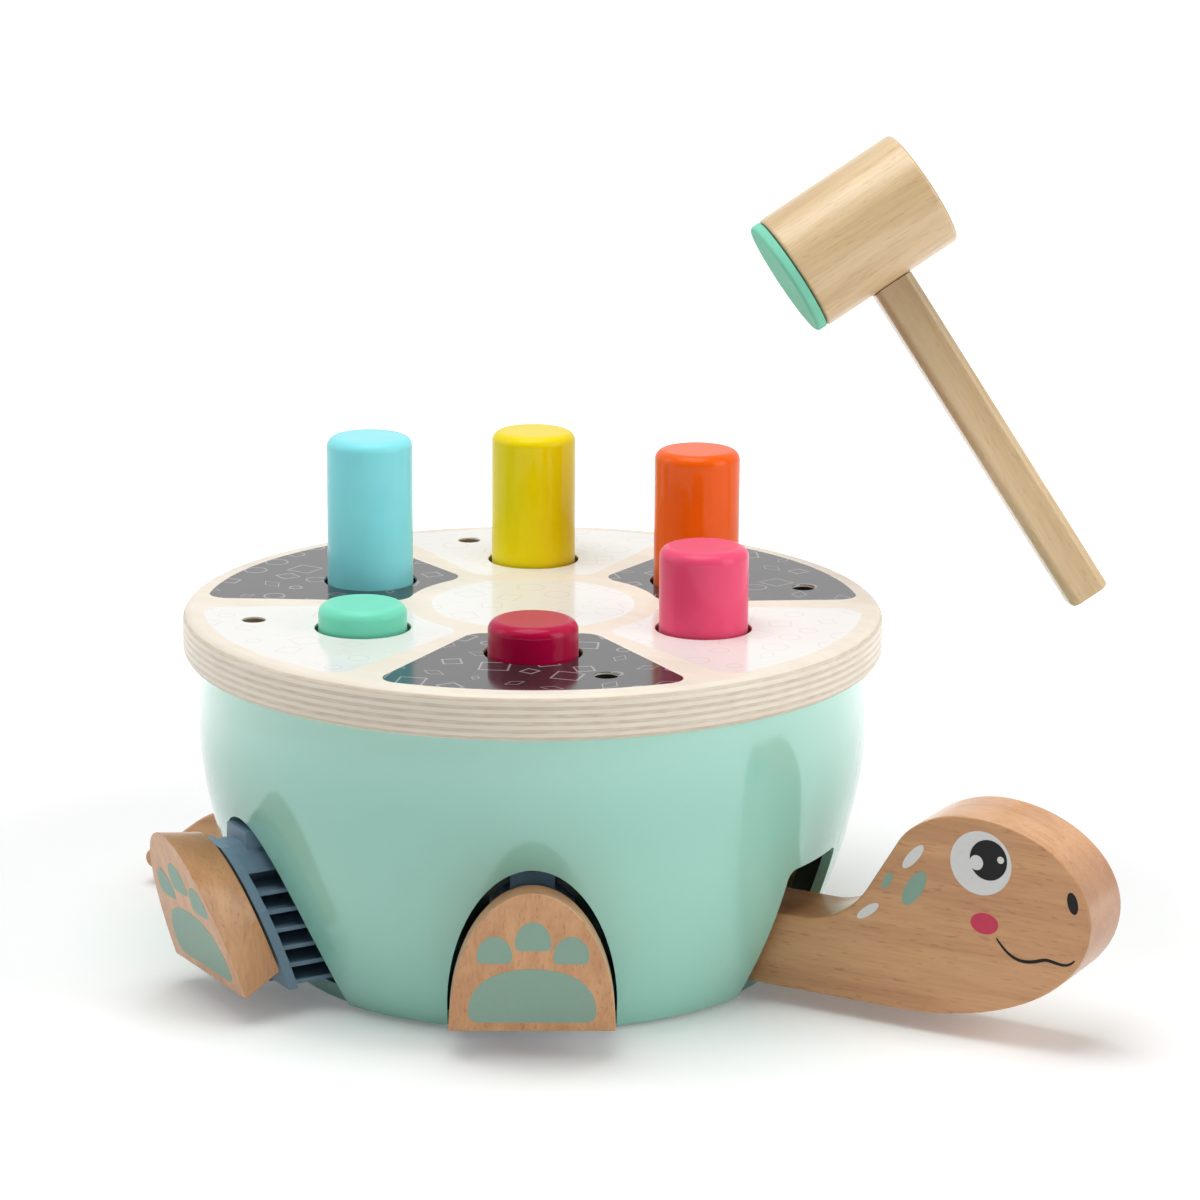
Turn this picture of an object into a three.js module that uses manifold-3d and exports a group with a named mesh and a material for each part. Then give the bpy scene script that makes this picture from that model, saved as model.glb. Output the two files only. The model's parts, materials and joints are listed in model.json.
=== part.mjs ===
// Turtle pounding toy. Six pegs stand in a round plywood top, and each one drives one limb of a turtle:
// a peg that is hit goes down and pushes its limb out, and a limb that is pushed in lifts its peg.
// Millimetres, +Z up. The origin is the middle of the base, on the floor. The turtle looks along +X.

import * as THREE from 'three';
import { mergeVertices } from 'three/addons/utils/BufferGeometryUtils.js';
import Module from 'manifold-3d';

const wasm = await Module();
wasm.setup();

// Clearances
const SEAT_GAP = 0.3; // between pieces that are fastened together
const SLIDE_GAP = 0.4; // round a piece that slides in its guide
const LIMB_GAP = 0.8; // round a foot in its opening
const NECK_GAP = 4.2; // beside the head and the tail in their openings
const PLATE_HOLE_GAP = 1; // round a peg in the plywood

// Top plate
const PLATE_DIAMETER = 200;
const PLATE_THICKNESS = 13;
const PLATE_TOP = 102.5; // height of its upper face
const PLATE_EDGE = 3; // rounding of its rim

// Pegs and how far they move
const PEG_CIRCLE = 110; // diameter of the circle that they stand on
const PEG_DIAMETER = 25;
const PEG_LENGTH = 64;
const PEG_EDGE = 3; // rounding of the upper edge
const PEG_UP = 43; // how far a raised peg stands out of the plate
const PEG_TRAVEL = 36;
const LIMB_TRAVEL = 26; // how far its limb moves out meanwhile
const FRONT_FOOT_TRAVEL = 20; // the same for the front feet

// Shell, a drum whose wall curves in towards the floor
const SHELL_TOP_DIAMETER = 193;
const SHELL_BASE_DIAMETER = 152;
const SHELL_WALL = 2.8;
const SHELL_LIFT = 1; // its lower edge above the floor
const SHELL_UPRIGHT = 80; // height above which the wall is upright
const NECK_OPENING_TOP = 40.6;
const NECK_OPENING_CORNER = 3;

// Base plate and the rails that the carriers run between
const BASE_THICKNESS = 4;
const RAIL_START = 24; // from the middle of the toy
const RAIL_WIDTH = 2;
const RAIL_HEIGHT = 3.2;

// Guide frame, a deck under the plate that holds the pegs upright
const DECK_THICKNESS = 3;

// Stems: forks under the pegs, with a cross pin
const STEM_FLANGE_DIAMETER = 20;
const STEM_FLANGE = 3;
const PRONG_WIDTH = 8;
const PRONG_THICKNESS = 3;
const PRONG_END = 4; // below the middle of the pin
const PIN_DIAMETER = 4;

// Carriers: a cam plate with a slanted slot, and a ribbed block that holds the limb
const CAM_THICKNESS = 6;
const CAM_MARGIN = 6; // from the middle of the pin to the edges of the cam plate
const CAM_FOOT = 7.6; // from the underside of the cam plate to the lowest middle of the pin
const MOUNT_THICKNESS = 3;
const MOUNT_INSET = 1.2; // from the limb's outline
const MOUNT_BOTTOM = 8; // height of its lower edge
const MOUNT_TOP = 46.8; // height of a foot mount's flat top
const MOUNT_SHADOW_GAP = 1.2; // between a foot and its mount, round the raised pad
const MOUNT_PAD_WIDTH = 16;
const MOUNT_PAD_BOTTOM = 20; // heights of the raised pad
const MOUNT_PAD_TOP = 42;
const SHELF_THICKNESS = 1.2;
const SHELF_START = 8.8;
const SHELF_PITCH = 5.05;
const SHELF_INSET = 2.5; // from the limb's outline
const SHELF_INNER = 42; // no shelf comes nearer to the middle of the toy
const FOOT_SHELVES = 6;
const NECK_SHELVES = 4;
const BLOCK_HEIGHT = 6.8; // of the solid block behind a foot mount's top
const BLOCK_DEPTH = 11;
const TOWER_WIDTH = 12; // of the stop that stands on the block
const TOWER_GAP = 2.5; // from the prongs, pulled in
const TOWER_DEPTH = 7.5;
const TOWER_TOP = 50.2;
const SPIGOT_DIAMETER = 6;
const SPIGOT_DEPTH = 6;
const SPIGOT_DROP = 6; // from the ends of the raised pad to the spigots

// Feet: arched blocks whose faces lean out with the wall
const FOOT_WIDTH = 45;
const FOOT_HEIGHT = 43.8;
const FOOT_CROWN_DROP = 2; // of the arch, from front to back
const FOOT_THICKNESS = 12.6;
const FOOT_LEAN = 18.3; // degrees
const FOOT_BOTTOM = 8;
const FOOT_RISE = 7.5; // of the underside, from front to back
const FOOT_INSET = 1.9; // of the pulled-in foot, behind the shell's surface

// Head and tail: boards on edge
const BOARD_THICKNESS = 20;
const NECK_START = 62; // from the middle of the toy, pulled in
const NECK_BOTTOM = 5.2;
const NECK_TOP = 26.6;
const NECK_LENGTH = 20;
const HEAD_RADIUS = 27.3;
const HEAD_REACH = 74.5; // from the neck's inner end to the middle of the head
const HEAD_HEIGHT = 36.8; // of the middle of the head
const NAPE_REACH = 43.5; // from the neck's inner end to the upper end of the nape
const NAPE_HEIGHT = 53;
const NAPE_RUN = 8; // of the straight stretch of the nape
const NAPE_DROP = 15;
const THROAT_REACH = 24; // from the neck's inner end to where the underside starts to curve
const TAIL_LENGTH = 68;
const TAIL_BACK = 38; // from the tail's inner end to where it starts to fall
const TAIL_TIP = 3; // radius of its tip

// Screws
const SCREW_HEAD_DIAMETER = 6;
const SCREW_HEAD_HEIGHT = 2.2;
const SCREW_DIAMETER = 3;
const PLATE_SCREWS = 4;
const PLATE_SCREW_CIRCLE = 162;
const PLATE_SCREW_START = 44; // bearing of the first one, degrees
const PLATE_SCREW_SUNK = 5;
const PLATE_SCREW_BITE = 12; // length in its post
const BASE_SCREWS = 6;
const BASE_SCREW_INSET = 12; // from the shell's lower edge
const BASE_SCREW_BITE = 9;
const STEM_SCREW_BITE = 12;
const POST_WIDTH = 9;
const POST_HEIGHT = 26;
const BOSS_DIAMETER = 9;
const BOSS_RIB = 4;
const BOSS_END = 2; // beyond the tip of the screw

// Mallet, held in the air by its grip end
const MALLET_REACH = 165; // from the middle of the toy to the grip end
const MALLET_BEARING = 39.6; // degrees
const MALLET_GRIP_HEIGHT = 98.8;
const MALLET_YAW = 30; // degrees
const MALLET_LEAN = 33; // degrees off plumb
const MALLET_TURN = 8; // degrees about its handle
const MALLET_LENGTH = 128; // from the grip end to the middle of the head
const MALLET_HEAD_DIAMETER = 36;
const MALLET_HEAD_LENGTH = 45;
const MALLET_HEAD_EDGE = 1;
const MALLET_PAD_DIAMETER = 35.4;
const MALLET_PAD_THICKNESS = 3;
const HANDLE_WIDTH = 12.5;
const HANDLE_EDGE = 3;
const TENON_DIAMETER = 9;
const TENON_DEPTH = 24; // into the head

// Round shapes
const DRUM_SIDES = 48;
const PEG_SIDES = 20;
const SCREW_SIDES = 8;
const ARC_STEPS = 8;
const WALL_STEPS = 5;
const OVERLAP = 1; // how far the parts of one moulding run into each other

// The six stations, counted round from the head. pressed is the share of its travel that the peg is down.
const STATIONS = [
  { name: 'head', limb: 'head', pressed: 0.54, colour: 0xf0628c },
  { name: 'left_front_foot', limb: 'frontFoot', pressed: 0.1, colour: 0xf0650f },
  { name: 'left_rear_foot', limb: 'rearFoot', pressed: 0.11, colour: 0xe8d00a },
  { name: 'tail', limb: 'tail', pressed: 0, colour: 0x8fdde4 },
  { name: 'right_rear_foot', limb: 'rearFoot', pressed: 1, colour: 0x7fddb8 },
  { name: 'right_front_foot', limb: 'frontFoot', pressed: 0.93, colour: 0xb01a50 },
];

const UP = new THREE.Vector3(0, 0, 1);
const degrees = THREE.MathUtils.degToRad;
const finish = (color, roughness, metalness = 0) =>
  new THREE.MeshStandardMaterial({ color, roughness, metalness });

const MINT_PLASTIC = finish(0x9fdcc8, 0.25);
const LINKAGE_PLASTIC = finish(0x6e8ca0, 0.5);
const PLYWOOD = finish(0xefe6d8, 0.45);
const BEECH = finish(0xd0a274, 0.5);
const MALLET_BEECH = finish(0xd9bc8f, 0.45);
const MALLET_RUBBER = finish(0x8fe0c0, 0.6);
const STEEL = finish(0xb8bcc0, 0.35, 1);

// Places that follow from the sizes
const PLATE_BOTTOM = PLATE_TOP - PLATE_THICKNESS;
const DECK_TOP = PLATE_BOTTOM - SEAT_GAP;
const DECK_BOTTOM = DECK_TOP - DECK_THICKNESS;
const POST_TOP = DECK_BOTTOM - SEAT_GAP;
const PEG_RADIUS = PEG_DIAMETER / 2;
const PEG_REACH = PEG_CIRCLE / 2;
const PLATE_SCREW_REACH = PLATE_SCREW_CIRCLE / 2;
const SHELL_REACH = SHELL_TOP_DIAMETER / 2 + OVERLAP; // clear of the shell's outside
const BASE_SCREW_REACH = SHELL_BASE_DIAMETER / 2 - BASE_SCREW_INSET;
const CAM_BOTTOM = BASE_THICKNESS + SLIDE_GAP;
const PIN_DOWN = CAM_BOTTOM + CAM_FOOT;
const PIN_UP = PIN_DOWN + PEG_TRAVEL;
const PEG_BOTTOM_UP = PLATE_TOP + PEG_UP - PEG_LENGTH;
const CAM_OUTER = PEG_REACH + CAM_MARGIN;
const CAM_TOP = PIN_UP + CAM_MARGIN;
const PRONG_INNER = CAM_THICKNESS / 2 + SLIDE_GAP;
const PRONG_OUTER = PEG_REACH + PRONG_WIDTH / 2; // side of the prongs that faces the limb
const FOOT_BACK_HEIGHT = FOOT_HEIGHT - FOOT_CROWN_DROP;
const FOOT_OPENING_HEIGHT = FOOT_HEIGHT + LIMB_GAP;
const NECK_HALF = BOARD_THICKNESS / 2 + NECK_GAP;
const RAIL_END = NECK_START - 2 * SLIDE_GAP;

// The shell's wall is an arc that stands upright at SHELL_UPRIGHT
const flareDepth = (SHELL_TOP_DIAMETER - SHELL_BASE_DIAMETER) / 2;
const flareRise = SHELL_UPRIGHT - SHELL_LIFT;
const flareRadius = (flareRise ** 2 + flareDepth ** 2) / (2 * flareDepth);
const shellRadius = (z, inset = 0) => {
  const below = Math.max(SHELL_UPRIGHT - z, 0);
  return SHELL_TOP_DIAMETER / 2 - flareRadius + Math.sqrt((flareRadius - inset) ** 2 - below ** 2);
};

// Distance of a pulled-in foot's face from the middle of the toy, at height z
const footFace = (z) =>
  shellRadius(FOOT_BOTTOM) - FOOT_INSET + (z - FOOT_BOTTOM) * Math.tan(degrees(FOOT_LEAN));

// Solids

function toSolid(geometry) {
  const bare = geometry.clone();
  bare.deleteAttribute('normal');
  bare.deleteAttribute('uv');
  const merged = mergeVertices(bare, 1e-4);
  const corners = merged.index.array;
  const kept = [];
  for (let i = 0; i < corners.length; i += 3) {
    const [a, b, c] = [corners[i], corners[i + 1], corners[i + 2]];
    if (a !== b && b !== c && c !== a) kept.push(a, b, c);
  }
  return new wasm.Manifold(new wasm.Mesh({
    numProp: 3,
    vertProperties: new Float32Array(merged.attributes.position.array),
    triVerts: new Uint32Array(kept),
  }));
}

function toMesh(name, solid, material) {
  const { numProp, vertProperties, triVerts } = solid.getMesh();
  const geometry = new THREE.BufferGeometry();
  geometry.setAttribute('position', new THREE.BufferAttribute(new Float32Array(vertProperties), numProp));
  geometry.setIndex(new THREE.BufferAttribute(new Uint32Array(triVerts), 1));
  geometry.computeVertexNormals();
  const mesh = new THREE.Mesh(geometry, material);
  mesh.name = name;
  return mesh;
}

const join = (solids) => solids.reduce((whole, solid) => whole.add(solid));
const cut = (solid, tools) => tools.reduce((rest, tool) => rest.subtract(tool), solid);

// A body turned about Z from [radius, height] points that run up the outside
function turned(points, sides) {
  const profile = points.map(([radius, z]) => new THREE.Vector2(radius, z));
  return toSolid(new THREE.LatheGeometry(profile, sides).rotateX(Math.PI / 2));
}

function box(low, high) {
  const size = high.map((value, axis) => value - low[axis]);
  const middle = high.map((value, axis) => (value + low[axis]) / 2);
  return toSolid(new THREE.BoxGeometry(...size).translate(...middle));
}

function upright(radius, bottom, top, sides) {
  return turned([[0, bottom], [radius, bottom], [radius, top], [0, top]], sides);
}

function extruded(shape, depth) {
  return new THREE.ExtrudeGeometry(shape, { depth, bevelEnabled: false, curveSegments: ARC_STEPS });
}

// A shape drawn outwards and upwards in the plane of a station, as thick as a board on edge
function onEdge(shape, thickness) {
  return toSolid(extruded(shape, thickness).translate(0, 0, -thickness / 2).rotateX(Math.PI / 2));
}

// A shape drawn across and upwards, run outwards from one distance to another, and leant by slope
function outwards(shape, from, to, slope = 0, slopeStart = 0) {
  const turn = new THREE.Matrix4().makeBasis(
    new THREE.Vector3(0, 1, 0), new THREE.Vector3(0, 0, 1), new THREE.Vector3(1, 0, 0));
  const lean = new THREE.Matrix4().makeShear(0, 0, 0, 0, slope, 0);
  const geometry = extruded(shape, to - from).applyMatrix4(turn).applyMatrix4(lean);
  return toSolid(geometry.translate(from - slope * slopeStart, 0, 0));
}

function polygon(points) {
  return new THREE.Shape(points.map(([x, y]) => new THREE.Vector2(x, y)));
}

// Half an ellipse on straight legs
function arch(halfWidth, springing, height, bottom) {
  const shape = new THREE.Shape();
  shape.moveTo(-halfWidth, bottom);
  shape.lineTo(-halfWidth, springing);
  shape.absellipse(0, springing, halfWidth, height, Math.PI, 0, true);
  shape.lineTo(halfWidth, bottom);
  return shape;
}

const atBearing = (solid, bearing) => solid.rotate([0, 0, bearing]);
const bearings = (count, start = 0) => Array.from({ length: count }, (_, i) => start + i * 360 / count);
const stationBearings = bearings(STATIONS.length);
const plateScrewBearings = bearings(PLATE_SCREWS, PLATE_SCREW_START);
const baseScrewBearings = bearings(BASE_SCREWS, 180 / BASE_SCREWS);

const hole = (reach, bearing, radius, bottom, top, sides) =>
  atBearing(upright(radius, bottom, top, sides).translate([reach, 0, 0]), bearing);

// Screw with its head's underside at z = 0 and its shank below
function screw(length) {
  const head = SCREW_HEAD_DIAMETER / 2;
  const shank = SCREW_DIAMETER / 2;
  const rim = SCREW_HEAD_HEIGHT / 2;
  return turned([[0, -length], [shank / 2, -length], [shank, -length + shank], [shank, 0], [head, 0],
    [head, rim], [head / 2, SCREW_HEAD_HEIGHT], [0, SCREW_HEAD_HEIGHT]], SCREW_SIDES);
}

const screwHole = SCREW_DIAMETER / 2 + SEAT_GAP;
const screwHeadHole = SCREW_HEAD_DIAMETER / 2 + SEAT_GAP;

// Fixed pieces

function topPlate() {
  const radius = PLATE_DIAMETER / 2;
  const rim = [];
  for (const [middle, start] of [[PLATE_BOTTOM + PLATE_EDGE, -90], [PLATE_TOP - PLATE_EDGE, 0]]) {
    for (const turn of [0, 45, 90]) {
      const angle = degrees(start + turn);
      rim.push([radius - PLATE_EDGE * (1 - Math.cos(angle)), middle + PLATE_EDGE * Math.sin(angle)]);
    }
  }
  const disc = turned([[0, PLATE_BOTTOM], ...rim, [0, PLATE_TOP]], DRUM_SIDES);
  const below = PLATE_BOTTOM - OVERLAP;
  const above = PLATE_TOP + OVERLAP;
  const seat = PLATE_TOP - PLATE_SCREW_SUNK;
  return cut(disc, [
    ...stationBearings.map((b) => hole(PEG_REACH, b, PEG_RADIUS + PLATE_HOLE_GAP, below, above, PEG_SIDES)),
    ...plateScrewBearings.map((b) => hole(PLATE_SCREW_REACH, b, screwHole, below, above, SCREW_SIDES)),
    ...plateScrewBearings.map((b) => hole(PLATE_SCREW_REACH, b, screwHeadHole, seat, above, SCREW_SIDES)),
  ]);
}

function guideFrame() {
  const deck = upright(shellRadius(DECK_TOP, SHELL_WALL) - SLIDE_GAP, DECK_BOTTOM, DECK_TOP, DRUM_SIDES);
  const below = DECK_BOTTOM - OVERLAP;
  const above = DECK_TOP + OVERLAP;
  return cut(deck, [
    ...stationBearings.map((b) => hole(PEG_REACH, b, PEG_RADIUS + SLIDE_GAP, below, above, PEG_SIDES)),
    ...plateScrewBearings.map((b) => hole(PLATE_SCREW_REACH, b, screwHole, below, above, SCREW_SIDES)),
  ]);
}

function footOpening() {
  const shape = arch(FOOT_WIDTH / 2 + LIMB_GAP, FOOT_BOTTOM, FOOT_OPENING_HEIGHT, -OVERLAP);
  return outwards(shape, PEG_REACH, SHELL_REACH);
}

function neckOpening() {
  const corner = NECK_OPENING_CORNER;
  const shape = new THREE.Shape();
  shape.moveTo(-NECK_HALF, -OVERLAP);
  shape.lineTo(-NECK_HALF, NECK_OPENING_TOP - corner);
  shape.absarc(-NECK_HALF + corner, NECK_OPENING_TOP - corner, corner, Math.PI, Math.PI / 2, true);
  shape.absarc(NECK_HALF - corner, NECK_OPENING_TOP - corner, corner, Math.PI / 2, 0, true);
  shape.lineTo(NECK_HALF, -OVERLAP);
  return outwards(shape, PEG_REACH, SHELL_REACH);
}

function shell() {
  const heights = Array.from({ length: WALL_STEPS }, (_, i) => SHELL_LIFT + flareRise * i / (WALL_STEPS - 1));
  heights.push(DECK_TOP);
  const outside = heights.map((z) => [shellRadius(z), z]);
  const inside = heights.map((z) => [shellRadius(z, SHELL_WALL), z]).reverse();
  const wall = turned([...outside, ...inside, outside[0]], DRUM_SIDES);

  // Posts and bosses end inside the wall
  const middleOfWall = heights.map((z) => [shellRadius(z, SHELL_WALL / 2), z]);
  const core = turned([[0, SHELL_LIFT], ...middleOfWall, [0, DECK_TOP]], DRUM_SIDES);
  const postStart = PLATE_SCREW_REACH - POST_WIDTH / 2;
  const post = box([postStart, -POST_WIDTH / 2, POST_TOP - POST_HEIGHT],
    [SHELL_REACH, POST_WIDTH / 2, POST_TOP]);
  const bossBottom = BASE_THICKNESS + SEAT_GAP;
  const bossTop = bossBottom + BASE_SCREW_BITE + BOSS_END;
  const boss = join([
    upright(BOSS_DIAMETER / 2, bossBottom, bossTop, SCREW_SIDES).translate([BASE_SCREW_REACH, 0, 0]),
    box([BASE_SCREW_REACH, -BOSS_RIB / 2, bossBottom], [SHELL_REACH, BOSS_RIB / 2, bossTop]),
  ]);
  const fastenings = join([
    ...plateScrewBearings.map((b) => atBearing(post, b)),
    ...baseScrewBearings.map((b) => atBearing(boss, b)),
  ]).intersect(core);

  const openings = STATIONS.map(({ limb }, i) =>
    atBearing(limb.endsWith('Foot') ? footOpening() : neckOpening(), stationBearings[i]));
  const plateScrewTip = POST_TOP - PLATE_SCREW_BITE - SEAT_GAP;
  const baseScrewTip = bossBottom + BASE_SCREW_BITE + SEAT_GAP;
  return cut(cut(wall, openings).add(fastenings), [
    ...plateScrewBearings.map((b) =>
      hole(PLATE_SCREW_REACH, b, screwHole, plateScrewTip, POST_TOP + OVERLAP, SCREW_SIDES)),
    ...baseScrewBearings.map((b) =>
      hole(BASE_SCREW_REACH, b, screwHole, bossBottom - OVERLAP, baseScrewTip, SCREW_SIDES)),
  ]);
}

const baseScrewSeat = SCREW_HEAD_HEIGHT + 2 * SEAT_GAP; // height of the step under the screw's head

function basePlate() {
  const disc = upright(shellRadius(SHELL_LIFT, SHELL_WALL) - SEAT_GAP, 0, BASE_THICKNESS, DRUM_SIDES);
  const rails = stationBearings.flatMap((b) => [-1, 1].map((side) => {
    const near = CAM_THICKNESS / 2 + SLIDE_GAP;
    const across = [side * near, side * (near + RAIL_WIDTH)].sort((p, q) => p - q);
    const rail = box([RAIL_START, across[0], BASE_THICKNESS - OVERLAP],
      [RAIL_END, across[1], BASE_THICKNESS + RAIL_HEIGHT]);
    return atBearing(rail, b);
  }));
  return cut(join([disc, ...rails]), [
    ...baseScrewBearings.map((b) =>
      hole(BASE_SCREW_REACH, b, screwHole, -OVERLAP, BASE_THICKNESS + OVERLAP, SCREW_SIDES)),
    ...baseScrewBearings.map((b) =>
      hole(BASE_SCREW_REACH, b, screwHeadHole, -OVERLAP, baseScrewSeat, SCREW_SIDES)),
  ]);
}

// Pieces of a station, as they stand with the peg up and the limb pulled in

function peg() {
  const top = PLATE_TOP + PEG_UP;
  const edge = [0, 45, 90].map((turn) => {
    const angle = degrees(turn);
    return [PEG_RADIUS - PEG_EDGE * (1 - Math.cos(angle)), top - PEG_EDGE * (1 - Math.sin(angle))];
  });
  const body = turned([[0, PEG_BOTTOM_UP], [PEG_RADIUS, PEG_BOTTOM_UP], ...edge, [0, top]], PEG_SIDES);
  const pilotTop = PEG_BOTTOM_UP + STEM_SCREW_BITE + SEAT_GAP;
  const pilot = upright(screwHole, PEG_BOTTOM_UP - OVERLAP, pilotTop, SCREW_SIDES);
  return body.subtract(pilot).translate([PEG_REACH, 0, 0]);
}

const flangeTop = PEG_BOTTOM_UP - SEAT_GAP;
const flangeBottom = flangeTop - STEM_FLANGE;

function stem() {
  const flange = upright(STEM_FLANGE_DIAMETER / 2, flangeBottom, flangeTop, PEG_SIDES)
    .translate([PEG_REACH, 0, 0]);
  const prongs = [-1, 1].map((side) => {
    const across = [side * PRONG_INNER, side * (PRONG_INNER + PRONG_THICKNESS)].sort((p, q) => p - q);
    return box([PEG_REACH - PRONG_WIDTH / 2, across[0], PIN_UP - PRONG_END],
      [PEG_REACH + PRONG_WIDTH / 2, across[1], flangeBottom + OVERLAP]);
  });
  const screwWay = upright(screwHole, flangeBottom - OVERLAP, flangeTop + OVERLAP, SCREW_SIDES)
    .translate([PEG_REACH, 0, 0]);
  const pinWay = crossPin(PIN_DIAMETER / 2 + SEAT_GAP, STEM_FLANGE_DIAMETER);
  return cut(join([flange, ...prongs]), [screwWay, pinWay]);
}

function crossPin(radius, length) {
  return upright(radius, -length / 2, length / 2, SCREW_SIDES).rotate([90, 0, 0])
    .translate([PEG_REACH, 0, PIN_UP]);
}

function capsule([x0, y0], [x1, y1], radius) {
  const along = Math.atan2(y1 - y0, x1 - x0);
  const shape = new THREE.Shape();
  shape.absarc(x0, y0, radius, along + Math.PI / 2, along + 1.5 * Math.PI, false);
  shape.absarc(x1, y1, radius, along - Math.PI / 2, along + Math.PI / 2, false);
  return shape;
}

// What a carrier has to know of its limb: how far it moves, the back of the mount and half the width at a
// height, the top, and the number of shelves
const rearFootMount = {
  travel: LIMB_TRAVEL,
  back: (z) => footFace(z) - FOOT_THICKNESS - MOUNT_SHADOW_GAP - MOUNT_THICKNESS,
  half: (z) => FOOT_WIDTH / 2 * Math.sqrt(Math.max(1 - ((z - FOOT_BOTTOM) / FOOT_BACK_HEIGHT) ** 2, 0)),
  top: MOUNT_TOP,
  shelves: FOOT_SHELVES,
};
const frontFootMount = { ...rearFootMount, travel: FRONT_FOOT_TRAVEL };
const neckMount = {
  travel: LIMB_TRAVEL,
  back: () => NECK_START - SEAT_GAP - MOUNT_THICKNESS,
  half: () => NECK_HALF - SLIDE_GAP,
  top: NECK_TOP + NECK_GAP,
  shelves: NECK_SHELVES,
};

function camPlate({ travel, back, top }) {
  const slotInner = PEG_REACH - travel;
  const inner = slotInner - CAM_MARGIN;
  const armTop = top - BLOCK_HEIGHT / 2;
  const bevel = CAM_MARGIN / 3;
  const shoulder = CAM_TOP - (CAM_OUTER - CAM_MARGIN - bevel - inner) * PEG_TRAVEL / travel;
  const outline = polygon([
    [inner, CAM_BOTTOM],
    [back(CAM_BOTTOM) + OVERLAP, CAM_BOTTOM],
    [back(armTop) + OVERLAP, armTop],
    [CAM_OUTER, armTop],
    [CAM_OUTER, CAM_TOP],
    [CAM_OUTER - CAM_MARGIN - bevel, CAM_TOP],
    [inner, shoulder],
  ]);
  const slot = capsule([slotInner, PIN_DOWN], [PEG_REACH, PIN_UP], PIN_DIAMETER / 2 + SLIDE_GAP);
  return onEdge(outline, CAM_THICKNESS).subtract(onEdge(slot, CAM_THICKNESS + OVERLAP));
}

// Shelves, and a foot's block and tower, stay outside the way of the prongs, which follow the slot
function shelves({ travel, back, half, shelves: count }) {
  return Array.from({ length: count }, (_, i) => {
    const bottom = SHELF_START + i * SHELF_PITCH;
    const top = bottom + SHELF_THICKNESS;
    const lowered = PIN_UP - PRONG_END - top;
    const prongs = PRONG_OUTER - lowered * travel / PEG_TRAVEL;
    const inner = Math.max(SHELF_INNER, prongs + 2 * SLIDE_GAP);
    const across = half(top) - SHELF_INSET;
    return box([inner, -across, bottom], [back(bottom) + OVERLAP, across, top]);
  });
}

const spigotHeights = [MOUNT_PAD_BOTTOM + SPIGOT_DROP, MOUNT_PAD_TOP - SPIGOT_DROP];

function spigot(radius, from, to, z) {
  return upright(radius, from, to, SCREW_SIDES).rotate([0, 90, 0]).translate([0, 0, z]);
}

const footSlope = Math.tan(degrees(FOOT_LEAN));

function footCarrier(mount) {
  const back = mount.back(FOOT_BOTTOM);
  const front = back + MOUNT_THICKNESS;
  const wood = front + MOUNT_SHADOW_GAP;
  const blockBottom = MOUNT_TOP - BLOCK_HEIGHT;
  const towerStart = PRONG_OUTER + TOWER_GAP;
  const follow = (inset, from, to, bottom) => {
    const shape = arch(FOOT_WIDTH / 2 - inset, FOOT_BOTTOM, FOOT_BACK_HEIGHT - inset, bottom);
    return outwards(shape, from, to, footSlope, FOOT_BOTTOM).trimByPlane([0, 0, -1], -MOUNT_TOP);
  };
  // What stands higher than the opening stays inside the wall when the foot is out
  const wallBottom = FOOT_BOTTOM + FOOT_OPENING_HEIGHT - 2 * SLIDE_GAP;
  const wallInside = shellRadius(wallBottom, SHELL_WALL) - 2 * SLIDE_GAP - mount.travel;
  const wall = box([wallInside, -FOOT_WIDTH / 2, wallBottom], [SHELL_REACH, FOOT_WIDTH / 2, PLATE_BOTTOM]);
  const pad = polygon([[-1, MOUNT_PAD_BOTTOM], [1, MOUNT_PAD_BOTTOM], [1, MOUNT_PAD_TOP], [-1, MOUNT_PAD_TOP]]
    .map(([side, z]) => [side * MOUNT_PAD_WIDTH / 2, z]));
  return join([
    camPlate(mount),
    follow(MOUNT_INSET, back, front, MOUNT_BOTTOM),
    follow(SHELF_INSET, back - BLOCK_DEPTH, back + OVERLAP, FOOT_BOTTOM)
      .trimByPlane([0, 0, 1], blockBottom).trimByPlane([1, 0, 0], PRONG_OUTER + 2 * SLIDE_GAP),
    box([towerStart, -TOWER_WIDTH / 2, blockBottom], [towerStart + TOWER_DEPTH, TOWER_WIDTH / 2, TOWER_TOP]),
    outwards(pad, front - OVERLAP, wood - SEAT_GAP, footSlope, FOOT_BOTTOM),
    ...spigotHeights.map((z) => spigot(SPIGOT_DIAMETER / 2, mount.back(z) + OVERLAP,
      footFace(z) - FOOT_THICKNESS + SPIGOT_DEPTH, z)),
    ...shelves(mount),
  ]).subtract(wall);
}

function neckCarrier() {
  const back = neckMount.back();
  const across = neckMount.half();
  const spigotHeight = (NECK_BOTTOM + NECK_TOP) / 2;
  return join([
    camPlate(neckMount),
    box([back, -across, MOUNT_BOTTOM], [back + MOUNT_THICKNESS, across, neckMount.top]),
    spigot(SPIGOT_DIAMETER / 2, back + OVERLAP, NECK_START + SPIGOT_DEPTH, spigotHeight),
    ...shelves(neckMount),
  ]);
}

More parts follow.
